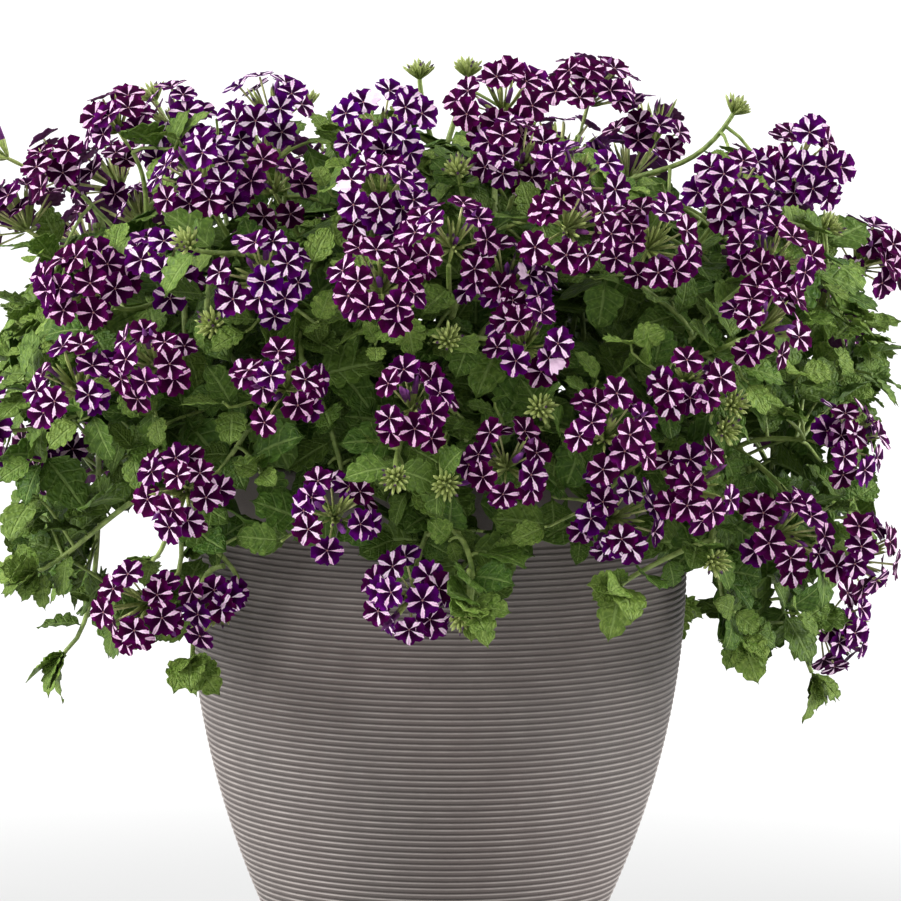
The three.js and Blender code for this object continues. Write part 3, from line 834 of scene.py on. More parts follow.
# ---- leaves ----
leaf = {
    "shapes": 5,
    "rows": 15,
    "innerRows": 8,
    "petiole": 0.12,  # as shares of the leaf's length
    "halfWidth": 0.345,
    "tooth": 0.022,
    "notch": 0.045,
    "toothLean": 0.03,
    "thickness": 0.013,
    "fold": (0.08, 0.4),
    "arch": (0.1, 0.42),
    "length": (30, 43),  # mm
    "uneven": (0.85, 1.1),
    "tries": 5,  # smaller each time, until the leaf has room
    "shrink": 0.1,
    "young": 15,
    "darkBelow": 390,
    "darker": 0.3,
    "tuft": 7,
    "tuftLength": (16, 32),
    "spacing": 19,
    "sprigSpacing": 11,
    "bare": {"bloom": 24, "bud": 15},  # mm of stalk without leaves, under a head or an umbel
    "pairs": (5, 3),  # at most, on a shoot and on a sprig
    "steps": 60,
    "headGap": 1.0,
}


def leafShape(number, rows):
    # a grid that is drawn out to a toothed blade, folded at the midrib and arched
    bm = bmesh.new()
    bmesh.ops.create_grid(bm, x_segments=2, y_segments=rows, size=1)
    mapPattern(bm, lambda co: ((co.x + 1) / 2, (co.y + 1) / 2))
    fold = between(*leaf["fold"])
    arch = between(*leaf["arch"])
    twist = between(-0.25, 0.25)
    for vert in bm.verts:
        v = (vert.co.y + 1) / 2
        row = round(v * rows)
        s = max(0, (v - leaf["petiole"]) / (1 - leaf["petiole"]))
        width = leaf["halfWidth"] * math.sin(math.pi * s ** 0.78) ** 0.62 if 0 < s < 1 else 0
        isNotch = row % 3 == 2
        tooth = (-leaf["notch"] if isNotch else leaf["tooth"]) if 0.1 < s < 0.98 else 0
        x = vert.co.x * (max(width, 0.018 if s < 1 else 0.012) + tooth)
        lean = leaf["toothLean"] if row % 3 == 1 else 0
        y = v + (lean - 0.05 * s) * abs(vert.co.x)
        wave = 0.025 * math.sin(row * 1.7 + number * 2) * abs(vert.co.x)
        vert.co = (x, y, fold * abs(x) - arch * v * v + twist * x * v + wave)
    bmesh.ops.solidify(bm, geom=bm.faces[:], thickness=leaf["thickness"])
    markRims(bm)
    return prototypeFrom(bm, f"leafShape{number}")


leafShapes = [leafShape(number, leaf["rows"]) for number in range(leaf["shapes"])]
innerLeafShapes = [leafShape(number, leaf["innerRows"]) for number in range(leaf["shapes"])]
leafProbes = [(0, 0.4, 0), (0.3, 0.5, 0), (-0.3, 0.5, 0), (0.2, 0.8, -0.1), (-0.2, 0.8, -0.1), (0, 1, -0.2)]


def leafRoom(matrix, isTip=False):
    # the leaves at a tip may hang lower than the others
    probes = np.array([matrix @ Vector(p) for p in leafProbes]) / mm
    inBox = (probes > boxLow - boxSlack).all() and (probes < boxHigh + boxSlack).all()
    isSeen = isTip or inOutline(probes, openings + clearings).all()
    return inBox and isSeen and clearOfPot(probes, 2).all() and clearOfBlooms(probes, leaf["headGap"]).all()


def leafPlace(at, ahead, face, length):
    # a leaf that points ahead, its upper side turned towards face
    face = (face - ahead * face.dot(ahead)).normalized()
    return standOn(at * mm, ahead.cross(face), ahead, face, (length * mm,) * 3)


def addLeafPair(bm, shapes, at, along, quarter, length, youth):
    out = outward(at)
    flat = along.cross(out if abs(along.dot(out)) < 0.95 else upright).normalized()
    flat = Quaternion(along, quarter) @ flat
    made = 0
    for side in (1, -1):
        for attempt in range(leaf["tries"]):
            ahead = flat * side + along * between(0, 0.6) + out * between(0, 0.5 + 0.2 * attempt)
            ahead.normalize()
            face = out * 0.7 + upright * 0.6 + wander(0.35)
            size = length * between(*leaf["uneven"]) * (1 - leaf["shrink"] * attempt)
            matrix = leafPlace(at, ahead, face, size)
            if leafRoom(matrix):
                shade = clamp(youth - leaf["darker"] * (at.z < leaf["darkBelow"]) + between(-0.2, 0.2))
                addCopy(bm, dice.choice(shapes), matrix, (shade, dice.random(), dice.random()))
                made += 1
                break
    return made


def addLeaves(bm, shoot):
    # opposite pairs, each a quarter turn from the last
    steps = leaf["steps"]
    points, length = evenPoints(shoot["ends"], steps)
    isSprig = shoot["kind"] == "sprig"
    spacing = leaf["sprigSpacing"] if isSprig else leaf["spacing"]
    bare = leaf["bare"].get(shoot["kind"], 1)
    turn = between(0, math.pi)
    pairs = min(leaf["pairs"][isSprig], int((length * 0.85 - bare) / spacing) + 1)
    isInner = shoot.get("isInner", False)
    shapes = innerLeafShapes if isInner else leafShapes
    young = 0.7 if bare == 1 and not isInner else 0.25
    made = 0
    for pair in range(pairs):
        share = 1 - (bare + pair * spacing) / length
        k = clamp(int(share * steps), 0, steps - 1)
        at = Vector(points[k])
        along = Vector(points[k + 1] - points[k]).normalized()
        full = between(*leaf["length"])
        grown = min(1, (pair + 1.0) / 2.5) if bare == 1 else 0.75 + 0.12 * pair
        size = leaf["young"] + (full - leaf["young"]) * min(1, grown)
        made += addLeafPair(bm, shapes, at, along, turn + pair * math.pi / 2, size, young - 0.28 * pair)
    return made


def addTuft(bm, shoot):
    # the small leaves round a shoot's tip
    points, _ = evenPoints(shoot["ends"], leaf["steps"])
    at = Vector(points[-1])
    along = Vector(points[-1] - points[-4]).normalized()
    turn = along.to_track_quat("Z", "Y")
    made = 0
    for k in range(leaf["tuft"]):
        aside = turn @ onCircle(1, k * golden)
        ahead = (along + aside * between(0.2, 0.9)).normalized()
        face = outward(at) * 0.6 + upright * 0.6 + wander(0.3)
        matrix = leafPlace(at, ahead, face, between(*leaf["tuftLength"]))
        if leafRoom(matrix, True):
            addCopy(bm, dice.choice(leafShapes), matrix, (between(0.4, 0.8), dice.random(), dice.random()))
            made += 1
    return made


leafColours = {
    "dark": ((48, 80, 21), (80, 111, 40)),
    "young": ((112, 146, 52), (160, 184, 92)),
    "olive": (112, 124, 56),
    # painted shade for the puckers' hollows, then a painted highlight for their raised middles
    "hollow": (32, 58, 16),
    "raisedHighlight": (140, 168, 92),
    "vein": (156, 180, 104),
    "stem": ((94, 118, 46), (158, 176, 96)),
}


def leafMaterial():
    # side veins slant forwards from the midrib, and the blade between them is puckered, with painted shade in
    # the hollows of the puckers and a painted highlight on their raised middles
    material, tree, shader = newMaterial("leafGreen", 0.5, 0.14)
    uv, place = patternPlace(tree)
    tone = toneOf(tree)
    across = calc(tree, "ABSOLUTE", calc(tree, "MULTIPLY_ADD", place["X"], 2.0, -1.0))
    slant = calc(tree, "SUBTRACT", place["Y"], times(tree, across, 0.2))
    phase = calc(tree, "FRACT", times(tree, slant, 5.5))
    fromVein = times(tree, calc(tree, "ABSOLUTE", calc(tree, "SUBTRACT", phase, 0.5)), 2.0)
    sideVein = times(tree, ramp(tree, fromVein, 0.74, 1.0), 0.6)
    vein = calc(tree, "MAXIMUM", sideVein, ramp(tree, across, 0.12, 0.03))
    cells = {"Vector": uv, "Scale": 15.0, "Randomness": 1.0}
    pucker = addNode(tree, "TexVoronoi", cells, feature="SMOOTH_F1").outputs["Distance"]
    patch = addPatches(tree, 260, 3, 2.6)
    dark = blend(tree, patch, *leafColours["dark"])
    young = blend(tree, patch, *leafColours["young"])
    blade = blend(tree, tone[0], dark, young)
    blade = blend(tree, times(tree, tone[1], 0.3), blade, leafColours["olive"])
    # painted shade in the hollows between the puckers
    blade = blend(tree, ramp(tree, pucker, 0.25, 0.6, 0.0, 0.35), blade, leafColours["hollow"])
    # painted highlight on the raised middles of the puckers
    blade = blend(tree, ramp(tree, pucker, 0.22, 0.02, 0.0, 0.3), blade, leafColours["raisedHighlight"])
    colour = blend(tree, times(tree, vein, 0.36), blade, leafColours["vein"])
    tree.links.new(ramp(tree, patch, 0, 1, 0.4, 0.6), shader.inputs["Roughness"])
    dents = calc(tree, "MULTIPLY_ADD", vein, -0.8, times(tree, pucker, -1.6))
    return paint(material, colour, calc(tree, "MULTIPLY_ADD", patch, 0.4, dents), 0.0007)


def stemMaterial():
    material, tree, _ = newMaterial("stemGreen", 0.5)
    colour = blend(tree, addPatches(tree, 180, 4, 2.5), *leafColours["stem"])
    return paint(material, colour, addPatches(tree, 900, 2), 0.0003)


# ---- flower heads ----
corolla = {
    "shapes": 5,
    "radius": 10.2,  # mm
    "petals": 5,
    "outline": (0.8, 0.97, 1.01, 0.8, 1.01, 0.97),  # reach from a notch round to the next one
    "thickness": 0.035,
}
head = {
    # rings of florets (angle from the front, how many), and how far out they stand as a share of the radius
    "full": {"rings": ((0.5, 3), (1.0, 8), (1.5, 6)), "sitAside": 0.81},
    "open": {"rings": ((0.5, 2), (1.0, 7), (1.5, 5)), "sitAside": 0.75},
    "fullAbove": 430,  # mm; the heads below are open ones
    "sitAhead": 0.8,
    "crest": (50, 100),  # heads behind this depth face backwards, and fully so after this much more
    "nod": 0.52,  # how far a floret turns with its place
    "tilt": 0.3,
    "scatter": 2.8,  # mm
    "lookUp": 0.36,
    "lookOut": 0.4,
    "lookOutHigh": 0.5,  # the highest heads look more towards the side than upwards
    "topZone": (450, 70),  # mm
    "overLeaves": 26,  # no floret stands farther than this above the highest leaves
    "lean": 0.28,
    "smallest": 27.5,  # smaller heads are partly over, with few florets
    "openCentre": 0.7,  # share of the heads with few florets in their middle
    "missing": {"sparse": 0.45, "centre": 0.7, "other": 0.04},
    "rachis": 0.35,  # the florets spring from this far behind the middle
    "middleBuds": 14,
    "middleBudSize": ((0.7, 1.12), (1.0, 1.4)),  # length as a share of the head's radius, own radius in mm
    "colouredBuds": 3,
    "colouredBudSize": ((0.85, 1.15), (2.0, 2.7)),
    "budSpread": 0.5,
    "stalkRadius": 1.6,
    # blue violet towards the upper middle and reddish elsewhere, uneven from head to head
    "violet": {"most": 0.14, "middle": 40, "halfWidth": 260, "above": 380, "uneven": (-0.25, 0.4)},
}
floret = {
    "size": (0.88, 1.07),
    "toneSpread": 0.3,
    "paleShare": 0.012,  # of the florets have one faded petal
    "throatDepth": 2.2,  # mm, as the next ones
    "calyxLength": 8.5,
    "calyxRadius": 1.0,
    "tubeRadius": 0.75,
}


def floretShape(number):
    # a fan of petals: the rim of a disc drawn in and out to five notched lobes
    bm = bmesh.new()
    count = corolla["petals"] * len(corolla["outline"])
    bmesh.ops.create_circle(bm, cap_ends=True, cap_tris=True, segments=count, radius=1)
    spokes = [edge for edge in bm.edges if min(vert.co.length for vert in edge.verts) < 0.01]
    bmesh.ops.subdivide_edges(bm, edges=spokes, cuts=1)
    lifts = [between(-0.16, 0.1) for _ in range(corolla["petals"])]
    reaches = [between(0.93, 1.05) for _ in range(corolla["petals"])]
    outline = corolla["outline"]
    for vert in bm.verts:
        r = vert.co.length
        angle = math.atan2(vert.co.y, vert.co.x) % (2 * math.pi)
        k = round(angle / (2 * math.pi) * count) % count
        petal = round(k / len(outline)) % corolla["petals"]
        reach = outline[k % len(outline)] * reaches[petal] if r > 0.9 else 0.42
        reach = 0 if r < 0.1 else reach
        flat = onCircle(1, angle) * reach
        vert.co = flat + upright * (lifts[petal] * reach ** 2 - 0.16 * (1 - reach) ** 2)
    mapPattern(bm, lambda co: (0.5 + co.x / 2, 0.5 + co.y / 2))
    bmesh.ops.solidify(bm, geom=bm.faces[:], thickness=corolla["thickness"])
    markRims(bm)
    for face in bm.faces:
        face.material_index = 0 if face.normal.z > 0.35 else 1
    return prototypeFrom(bm, f"floretShape{number}")


def spindleShape(name, tipFinish):
    # a calyx or bud: narrow, widest past its middle, with its tip in one of the head's finishes
    bm = bmesh.new()
    bmesh.ops.create_uvsphere(bm, u_segments=5, v_segments=4, radius=1, calc_uvs=False)
    mapPattern(bm, lambda co: (0.5 + math.atan2(co.y, co.x) / (2 * math.pi), (co.z + 1) / 2))
    for vert in bm.verts:
        share = (vert.co.z + 1) / 2
        vert.co.x *= 0.6 + 0.5 * share
        vert.co.y *= 0.6 + 0.5 * share
        vert.co.z = share
    for face in bm.faces:
        face.material_index = tipFinish if face.calc_center_median().z > 0.5 else 2
    return prototypeFrom(bm, name)


def tubeShape():
    bm = bmesh.new()
    bmesh.ops.create_cone(bm, cap_ends=True, segments=5, radius1=0.75, radius2=1, depth=1)
    bmesh.ops.translate(bm, verts=bm.verts, vec=(0, 0, 0.5))
    bm.loops.layers.uv.new("pattern")
    for face in bm.faces:
        face.material_index = 3
    return prototypeFrom(bm, "tubeShape")


floretShapes = [floretShape(number) for number in range(corolla["shapes"])]
spindle = spindleShape("calyxShape", 2)
colouredBud = spindleShape("colouredBudShape", 1)
tube = tubeShape()


def addRod(bm, shape, at, way, radius, length, tone=(0, 0, 0)):
    # a calyx, bud, tube or stalk, with its sizes in millimetres
    addCopy(bm, shape, pointing(at * mm, way, (radius * mm, radius * mm, length * mm)), tone)


def addFloret(bm, root, place, normal, tone):
    # one floret with the tube and the calyx that it stands on
    size = corolla["radius"] * between(*floret["size"]) * mm
    spin = between(0, 2 * math.pi)
    spread = floret["toneSpread"]
    shade = [clamp(t + between(-spread, spread)) for t in tone]
    pale = dice.choice(range(5)) if dice.random() < floret["paleShare"] else 5
    shade[1] = pale / 6 + 0.08  # which petal is pale, or none
    addCopy(bm, dice.choice(floretShapes), pointing(place * mm, normal, (size, size, size), spin), shade)
    throat = place - normal * floret["throatDepth"]
    way = throat - root
    calyxLength = min(floret["calyxLength"], way.length * 0.6)
    calyxWay = way.normalized()
    addRod(bm, spindle, root, calyxWay, floret["calyxRadius"], calyxLength)
    start = root + calyxWay * calyxLength * 0.75
    addRod(bm, tube, start, throat - start, floret["tubeRadius"], (throat - start).length)


def addHead(bm, at, radius, facing, tone):
    isSparse = radius < head["smallest"]
    base = at - facing * radius * bloom["back"]
    form = head["full" if at.z > head["fullAbove"] else "open"]
    back = clamp((at.y - head["crest"][0]) / head["crest"][1], -1)
    high = clamp((at.z - head["topZone"][0]) / head["topZone"][1])
    lookOut = (head["lookOut"] + head["lookOutHigh"] * high) * back
    toFace = Vector((0, lookOut, head["lookUp"] * (1 - high)))
    facing = (facing + toFace + wander(head["lean"])).normalized()
    turn = facing.to_track_quat("Z", "Y")
    rachis = at - facing * radius * head["rachis"]
    centreIsOpen = dice.random() < head["openCentre"]
    for ring, (angle, count) in enumerate(form["rings"]):
        first = between(0, 2 * math.pi)
        kind = "sparse" if isSparse else "centre" if ring == 0 and centreIsOpen else "other"
        for k in range(count):
            if dice.random() < head["missing"][kind]:
                continue
            around = first + 2 * math.pi * (k + between(-0.18, 0.18)) / count
            away = angle + between(-0.12, 0.12)
            side = turn @ onCircle(1, around)
            reach = radius * between(0.92, 1.04)
            ahead = facing * math.cos(away) * head["sitAhead"]
            aside = side * math.sin(away) * form["sitAside"]
            place = at + (aside + ahead) * reach + wander(head["scatter"])
            if place.z + lookDown * place.y > np.interp(place.x, *zip(*skyline)) + head["overLeaves"]:
                continue
            nod = away * head["nod"]
            normal = (side * math.sin(nod) + facing * math.cos(nod) + wander(head["tilt"])).normalized()
            addFloret(bm, rachis + (place - rachis).normalized() * radius * 0.1, place, normal, tone)
    long, thick = head["middleBudSize"]
    for k in range(head["middleBuds"]):
        way = (facing + wander(head["budSpread"])).normalized()
        length = radius * between(*long)
        addRod(bm, spindle, rachis, way, between(*thick), length, (dice.random() > 0.75, 0, 0))
    long, thick = head["colouredBudSize"]
    for k in range(head["colouredBuds"]):
        way = (facing + wander(head["budSpread"] * 1.6)).normalized()
        wide = between(*thick)
        addRod(bm, colouredBud, rachis, way, wide, radius * between(*long), (dice.random(), 0, 0))
    stalk = rachis - base
    addRod(bm, spindle, base, stalk, head["stalkRadius"], stalk.length * 1.3)


def addBudCluster(bm, at, facing):
    # an umbel of green buds, widening upwards from its stalk
    root = at - facing * bud["radius"] * 1.1
    turn = facing.to_track_quat("Z", "Y")
    long, thick = bud["size"]
    for k in range(bud["count"]):
        away = bud["spread"] * math.sqrt((k + 0.5) / bud["count"])
        way = turn @ onCircle(math.sin(away), k * golden, math.cos(away))
        length = bud["radius"] * between(*long)
        addRod(bm, spindle, root, way, between(*thick), length, (dice.random() > 0.8, 0, 0))


headColours = {
    # these pairs run from the reddest florets to the bluest
    "petal": ((58, 0, 42), (72, 0, 108)),
    "petalMiddle": ((28, 0, 18), (28, 0, 40)),
    # painted highlight on the dark petals, in clouds
    "highlightCloud": ((98, 4, 90), (98, 8, 142)),
    "back": ((74, 14, 70), (92, 26, 128)),
    "streak": (92, 4, 92),
    "ray": ((250, 196, 232), (255, 232, 252)),
    # painted shadow along the seam in the middle of a ray
    "raySeamShadow": (132, 74, 128),
    "rayCloud": (206, 158, 196),
    "throat": (150, 106, 110),
    "backPatch": (122, 72, 122),
    "tube": ((182, 190, 112), (236, 232, 172)),
    "calyx": ((124, 150, 56), (194, 208, 118)),
    "calyxTip": (196, 210, 122),
    "budTip": (70, 14, 78),
}


def petalMaterial():
    # dark petals with pale margins, so that a pale ray lies between each two
    material, tree, _ = newMaterial("petals", 0.65, 0.02)
    uv, place = patternPlace(tree)
    tone = toneOf(tree)
    x = calc(tree, "MULTIPLY_ADD", place["X"], 2.0, -1.0)
    y = calc(tree, "MULTIPLY_ADD", place["Y"], 2.0, -1.0)
    reach = calc(tree, "SQRT", calc(tree, "ADD", times(tree, x, x), times(tree, y, y)))
    turn = calc(tree, "DIVIDE", calc(tree, "ARCTAN2", y, x), 2 * math.pi)
    petal = calc(tree, "FRACT", calc(tree, "MULTIPLY_ADD", turn, 5.0, 0.5))
    fromAxis = times(tree, calc(tree, "ABSOLUTE", calc(tree, "SUBTRACT", petal, 0.5)), 2.0)
    own = addNode(tree, "Attribute", attribute_name="tone").outputs["Vector"]
    own = addNode(tree, "VectorMath", {0: own, 1: (9, 9, 9), 2: uv}, operation="MULTIPLY_ADD").outputs[0]
    streaks = addNode(tree, "TexNoise", {"Vector": own, "Scale": 16.0, "Detail": 3.0}).outputs[0]
    clouds = addNode(tree, "TexNoise", {"Vector": own, "Scale": 3.2, "Detail": 1.0}).outputs[0]
    # the rays, ragged at their sides and widest halfway out
    ragged = calc(tree, "MULTIPLY_ADD", streaks, 0.3, calc(tree, "SUBTRACT", fromAxis, 0.15))
    swell = calc(tree, "SINE", ramp(tree, reach, 0.02, 1.08, 0.12, math.pi - 0.45))
    wide = ramp(tree, tone[2], 0, 1, 0.24, 0.34)
    margin = calc(tree, "SUBTRACT", 1.0, times(tree, swell, wide))
    ray = ramp(tree, calc(tree, "SUBTRACT", ragged, margin), -0.04, 0.05)
    # the petal that is pale all over
    whole = times(tree, calc(tree, "FRACT", calc(tree, "ADD", turn, 0.1)), 5.0)
    chosen = calc(tree, "FLOOR", times(tree, tone[1], 6.0))
    isPale = calc(tree, "COMPARE", calc(tree, "FLOOR", whole), chosen, 0.1)
    pale = calc(tree, "MAXIMUM", ray, times(tree, isPale, ramp(tree, fromAxis, 1.0, 0.8)))
    kinds = ("petal", "petalMiddle", "highlightCloud")
    edge, middle, highlightCloud = (blend(tree, tone[0], *headColours[kind]) for kind in kinds)
    dark = blend(tree, ramp(tree, reach, 0.35, 1.0), middle, edge)
    dark = blend(tree, times(tree, streaks, 0.14), dark, headColours["streak"])
    # painted highlight: bright violet clouds towards the petals' outer parts, at random places
    glow = times(tree, ramp(tree, clouds, 0.5, 0.68, 0.0, 0.6), ramp(tree, reach, 0.3, 0.9))
    dark = blend(tree, glow, dark, highlightCloud)
    light = blend(tree, tone[2], *headColours["ray"])
    # painted shadow along the seam in the middle of each ray's outer part
    seamShadow = ramp(tree, calc(tree, "SUBTRACT", fromAxis, times(tree, streaks, 0.2)), 0.8, 0.9)
    seamShadow = times(tree, seamShadow, ramp(tree, reach, 0.4, 0.95, 0.0, 0.65))
    light = blend(tree, seamShadow, light, headColours["raySeamShadow"])
    light = blend(tree, ramp(tree, clouds, 0.52, 0.36, 0.0, 0.45), light, headColours["rayCloud"])
    colour = blend(tree, pale, dark, light)
    colour = blend(tree, ramp(tree, reach, 0.085, 0.03), colour, headColours["throat"])
    grain = addNode(tree, "TexNoise", {"Vector": uv, "Scale": 60.0, "Detail": 2.0}).outputs[0]
    return paint(material, colour, calc(tree, "ADD", grain, streaks), 0.0005)


def petalBackMaterial():
    material, tree, _ = newMaterial("petalBacks", 0.6, 0.08)
    deep = blend(tree, toneOf(tree)[0], *headColours["back"])
    return paint(material, blend(tree, addPatches(tree, 300), deep, headColours["backPatch"]))


def calyxMaterial():
    # yellow green, with the tips of some buds dark purple
    material, tree, _ = newMaterial("calyxGreen", 0.5)
    _, place = patternPlace(tree)
    green = blend(tree, addPatches(tree, 500, 3, 2.0), *headColours["calyx"])
    green = blend(tree, ramp(tree, place["Y"], 0.3, 0.95), green, headColours["calyxTip"])
    tip = times(tree, ramp(tree, place["Y"], 0.72, 0.9), toneOf(tree)[0])
    colour = blend(tree, tip, green, headColours["budTip"])
    return paint(material, colour, calc(tree, "SINE", times(tree, place["X"], 60.0)), 0.0002)


def tubeMaterial():
    material, tree, _ = newMaterial("flowerTubes", 0.5)
    return paint(material, blend(tree, addPatches(tree, 300), *headColours["tube"]))


headFinishes = [petalMaterial(), petalBackMaterial(), calyxMaterial(), tubeMaterial()]


def headTone(at):
    blue = head["violet"]
    share = max(0, 1 - ((at.x - blue["middle"]) / blue["halfWidth"]) ** 2) * (at.z > blue["above"])
    violet = blue["most"] * share + between(*blue["uneven"])
    return (clamp(violet), 1, clamp(0.35 + violet * 0.8 + between(-0.15, 0.15)))


def makeHeads():
    number = 0
    for i, spray in enumerate(sprays):
        bm = bmesh.new()
        for at, radius in spray:
            addHead(bm, at, radius, facings[number], headTone(at))
            number += 1
        name = f"{i + 1:02d}"
        piece = objectFrom(bm, "flowerHeads_" + name, headFinishes)
        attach(piece, "root")
        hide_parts("bloom_" + name)


# ---- stems and leaves of each leafy stem ----
def addStems(bm, index):
    curve = bpy.data.curves.new("stems", "CURVE")
    curve.dimensions = "3D"
    curve.bevel_depth = mm
    curve.bevel_resolution = 1
    curve.use_fill_caps = True
    runs = [(trunkEnds(index), trunk)]
    runs += [(shoot["ends"], sprig if shoot["kind"] == "sprig" else branch) for shoot in shoots[index]]
    for ends, form in runs:
        steps = form["drawn"]
        thick, thin = form["radii"]
        points, _ = evenPoints(ends, steps)
        spline = curve.splines.new("POLY")
        spline.points.add(steps)
        for k, point in enumerate(spline.points):
            point.co = (*(points[k] * mm), 1)
            point.radius = thick + (thin - thick) * k / steps
    holder = bpy.data.objects.new("stems", curve)
    mesh = smoothAndToned(bpy.data.meshes.new_from_object(holder))
    mesh.polygons.foreach_set("material_index", [1] * len(mesh.polygons))
    bm.from_mesh(mesh)
    bpy.data.meshes.remove(mesh)
    bpy.data.objects.remove(holder)
    bpy.data.curves.remove(curve)


def makeLeafyStems():
    finishes = [leafMaterial(), stemMaterial(), headFinishes[2]]
    leaves = 0
    for index in range(sector["count"]):
        bm = bmesh.new()
        addStems(bm, index)
        for shoot in shoots[index]:
            leaves += addLeaves(bm, shoot)
            if shoot["kind"] == "leafy":
                leaves += addTuft(bm, shoot)
            if shoot["kind"] == "bud":
                addBudCluster(bm, shoot["spot"], shoot["facing"])
        name = f"{index + 1:02d}"
        piece = objectFrom(bm, "leafyShoots_" + name, finishes)
        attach(piece, "root")
        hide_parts("leafy_stem_" + name)
    return leaves


# ---- pot and potting mix ----
potLook = {
    "ribsFrom": 5,
    "ribPitch": 3.82,
    # a narrow groove, then a rib that leans out to a soft edge and a ledge on top: (share of the pitch, out)
    "ribOutline": ((0, -0.8), (0.14, -0.3), (0.62, 0.5), (0.78, 0.4)),
    "sides": 100,
    "lip": 3,
    "innerHeights": (240, 180, 120, 60),
    "drainHoles": 4,
    "drainRadius": 5,
    "drainCircle": 45,
    "taupe": ((101, 95, 92), (107, 96, 93)),
    "speck": (86, 78, 75),
    # the ribs' pale upper ledges: partly rubbed wear, partly a painted highlight
    "rubbedWearAndHighlight": (156, 148, 143),
    # painted shade in the grooves between the ribs
    "groove": (60, 54, 51),
}


def spunProfile(points, sides):
    bm = bmesh.new()
    verts = [bm.verts.new((r * mm, 0, z * mm)) for r, z in points]
    edges = [bm.edges.new(pair) for pair in zip(verts, verts[1:])]
    geom = verts + edges
    bmesh.ops.spin(bm, geom=geom, axis=upright, angle=2 * math.pi, steps=sides, use_merge=True)
    bmesh.ops.remove_doubles(bm, verts=bm.verts, dist=1e-6)
    bmesh.ops.recalc_face_normals(bm, faces=bm.faces)
    for face in bm.faces:
        face.smooth = True
    return bm


def innerRadius(z):
    return potRadius(z) - potSizes["wall"]


def potProfile():
    radius, height = potSizes["radius"], potSizes["height"]
    profile = [(0, 0), (potRadius(0) - 1.5, 0), (potRadius(0), 1.5)]
    count = int((potSizes["bandBottom"] - potLook["ribsFrom"]) / potLook["ribPitch"])
    for i in range(count):
        for up, out in potLook["ribOutline"]:
            z = potLook["ribsFrom"] + i * potLook["ribPitch"] + up * potLook["ribPitch"]
            profile.append((potRadius(z) + out, z))
    top = potLook["ribsFrom"] + count * potLook["ribPitch"]
    profile += [(radius - 0.8, top), (radius, top + 1.2), (radius + 0.8, (top + height) / 2)]
    profile += [(radius + potSizes["rimLip"], height - potLook["lip"]), (radius + 0.9, height - 0.8)]
    inside = radius - potSizes["wall"]
    profile += [(radius - 0.5, height), (inside + 0.8, height), (inside, height - 1)]
    profile += [(innerRadius(z), z) for z in potLook["innerHeights"]]
    return [*profile, (innerRadius(potSizes["floor"]), potSizes["floor"]), (0, potSizes["floor"])]


def makePot():
    pot = objectFrom(spunProfile(potProfile(), potLook["sides"]), "ribbedPot", [potMaterial()])
    bm = bmesh.new()
    for i in range(potLook["drainHoles"]):
        at = onCircle(potLook["drainCircle"], 2 * math.pi * i / potLook["drainHoles"]) * mm
        size = potLook["drainRadius"] * mm
        made = bmesh.ops.create_cone(bm, cap_ends=True, segments=24, radius1=size, radius2=size, depth=0.03)
        bmesh.ops.translate(bm, verts=made["verts"], vec=at)
    drill = objectFrom(bm, "drill", [])
    cut = pot.modifiers.new("drainHoles", "BOOLEAN")
    cut.operation = "DIFFERENCE"
    cut.solver = "MANIFOLD"
    cut.object = drill
    ready = bpy.context.evaluated_depsgraph_get()
    old, pot.data = pot.data, bpy.data.meshes.new_from_object(pot.evaluated_get(ready))
    pot.modifiers.clear()
    bpy.data.meshes.remove(old)
    bpy.data.objects.remove(drill)
    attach(pot, "root")
    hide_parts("pot")


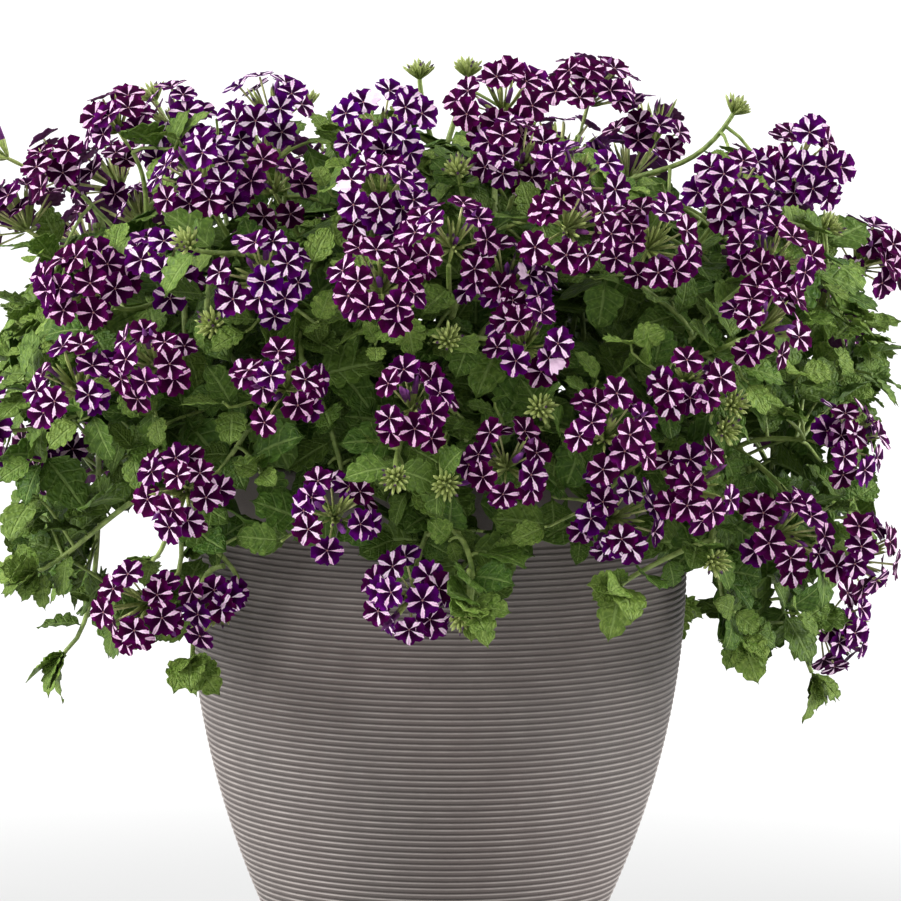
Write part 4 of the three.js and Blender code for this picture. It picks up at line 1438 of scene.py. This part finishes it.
def potMaterial():
    # taupe, with the ribs pale along their upper edge, partly rubbed wear and partly a painted highlight
    # where light from above catches the ledge, and painted shade dark in the grooves
    material, tree, _ = newMaterial("potTaupe", 0.6, 0.35)
    z = addNode(tree, "SeparateXYZ", {0: objectPlace(tree)}).outputs["Z"]
    ribs = calc(tree, "DIVIDE", calc(tree, "SUBTRACT", z, potLook["ribsFrom"] * mm), potLook["ribPitch"] * mm)
    phase = calc(tree, "FRACT", ribs)
    # the pale upper ledge of each rib: partly rubbed wear, partly a painted highlight
    edge = times(tree, ramp(tree, phase, 0.56, 0.7), ramp(tree, phase, 0.92, 0.8))
    # painted shade in each groove
    groove = calc(tree, "MAXIMUM", ramp(tree, phase, 0.34, 0.04), ramp(tree, phase, 0.86, 0.96))
    isRibbed = ramp(tree, z, (potSizes["bandBottom"] - 1) * mm, (potSizes["bandBottom"] - 2) * mm)
    worn = addPatches(tree, 60, 6, 1.6)
    specks = addPatches(tree, 1400, 2, 2.5)
    base = blend(tree, addPatches(tree, 9, 3, 2.4), *potLook["taupe"])
    base = blend(tree, times(tree, specks, 0.35), base, potLook["speck"])
    # painted highlight along the ledges, partly rubbed wear, broken up by the worn patches
    pale = times(tree, edge, ramp(tree, worn, 0, 1, 0.45, 1.0), isRibbed)
    colour = blend(tree, pale, base, potLook["rubbedWearAndHighlight"])
    # painted shade darkens the grooves
    colour = blend(tree, times(tree, groove, isRibbed, 0.65), colour, potLook["groove"])
    return paint(material, colour, calc(tree, "MULTIPLY_ADD", specks, 0.5, worn), 0.0003)


def makeSoil():
    low, top, edge = potSizes["floor"] + soilSizes["gap"], soilSizes["top"], soilSizes["edge"]
    heights = (low, *reversed(potLook["innerHeights"]), edge)
    profile = [(0, low), *((innerRadius(z) - soilSizes["gap"], z) for z in heights)]
    for k in range(1, soilSizes["rings"]):
        share = 1 - k / soilSizes["rings"]
        profile.append((profile[len(heights)][0] * share, top - (top - edge) * share ** 2))
    bm = spunProfile([*profile, (0, top)], soilSizes["sides"])
    for vert in bm.verts:
        if vert.co.z > (edge + 0.1) * mm:
            crumb = noise.noise(vert.co * 130) * 1.6 + noise.noise(vert.co * 420) * 1.1
            vert.co.z += crumb * mm
    soil = objectFrom(bm, "pottingMix", [soilMaterial()])
    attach(soil, "root")
    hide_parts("soil")


def soilMaterial():
    material, tree, _ = newMaterial("pottingMix", 0.95)
    crumbs = addPatches(tree, 420, 6, 2.6)
    return paint(material, blend(tree, crumbs, *soilSizes["colours"]), crumbs, 0.002)


makeCamera()
makeStudio()
print("camera and studio ready")
makePot()
makeSoil()
print("pot ready")
makeHeads()
print("flower heads ready")
print("leaves:", makeLeafyStems())
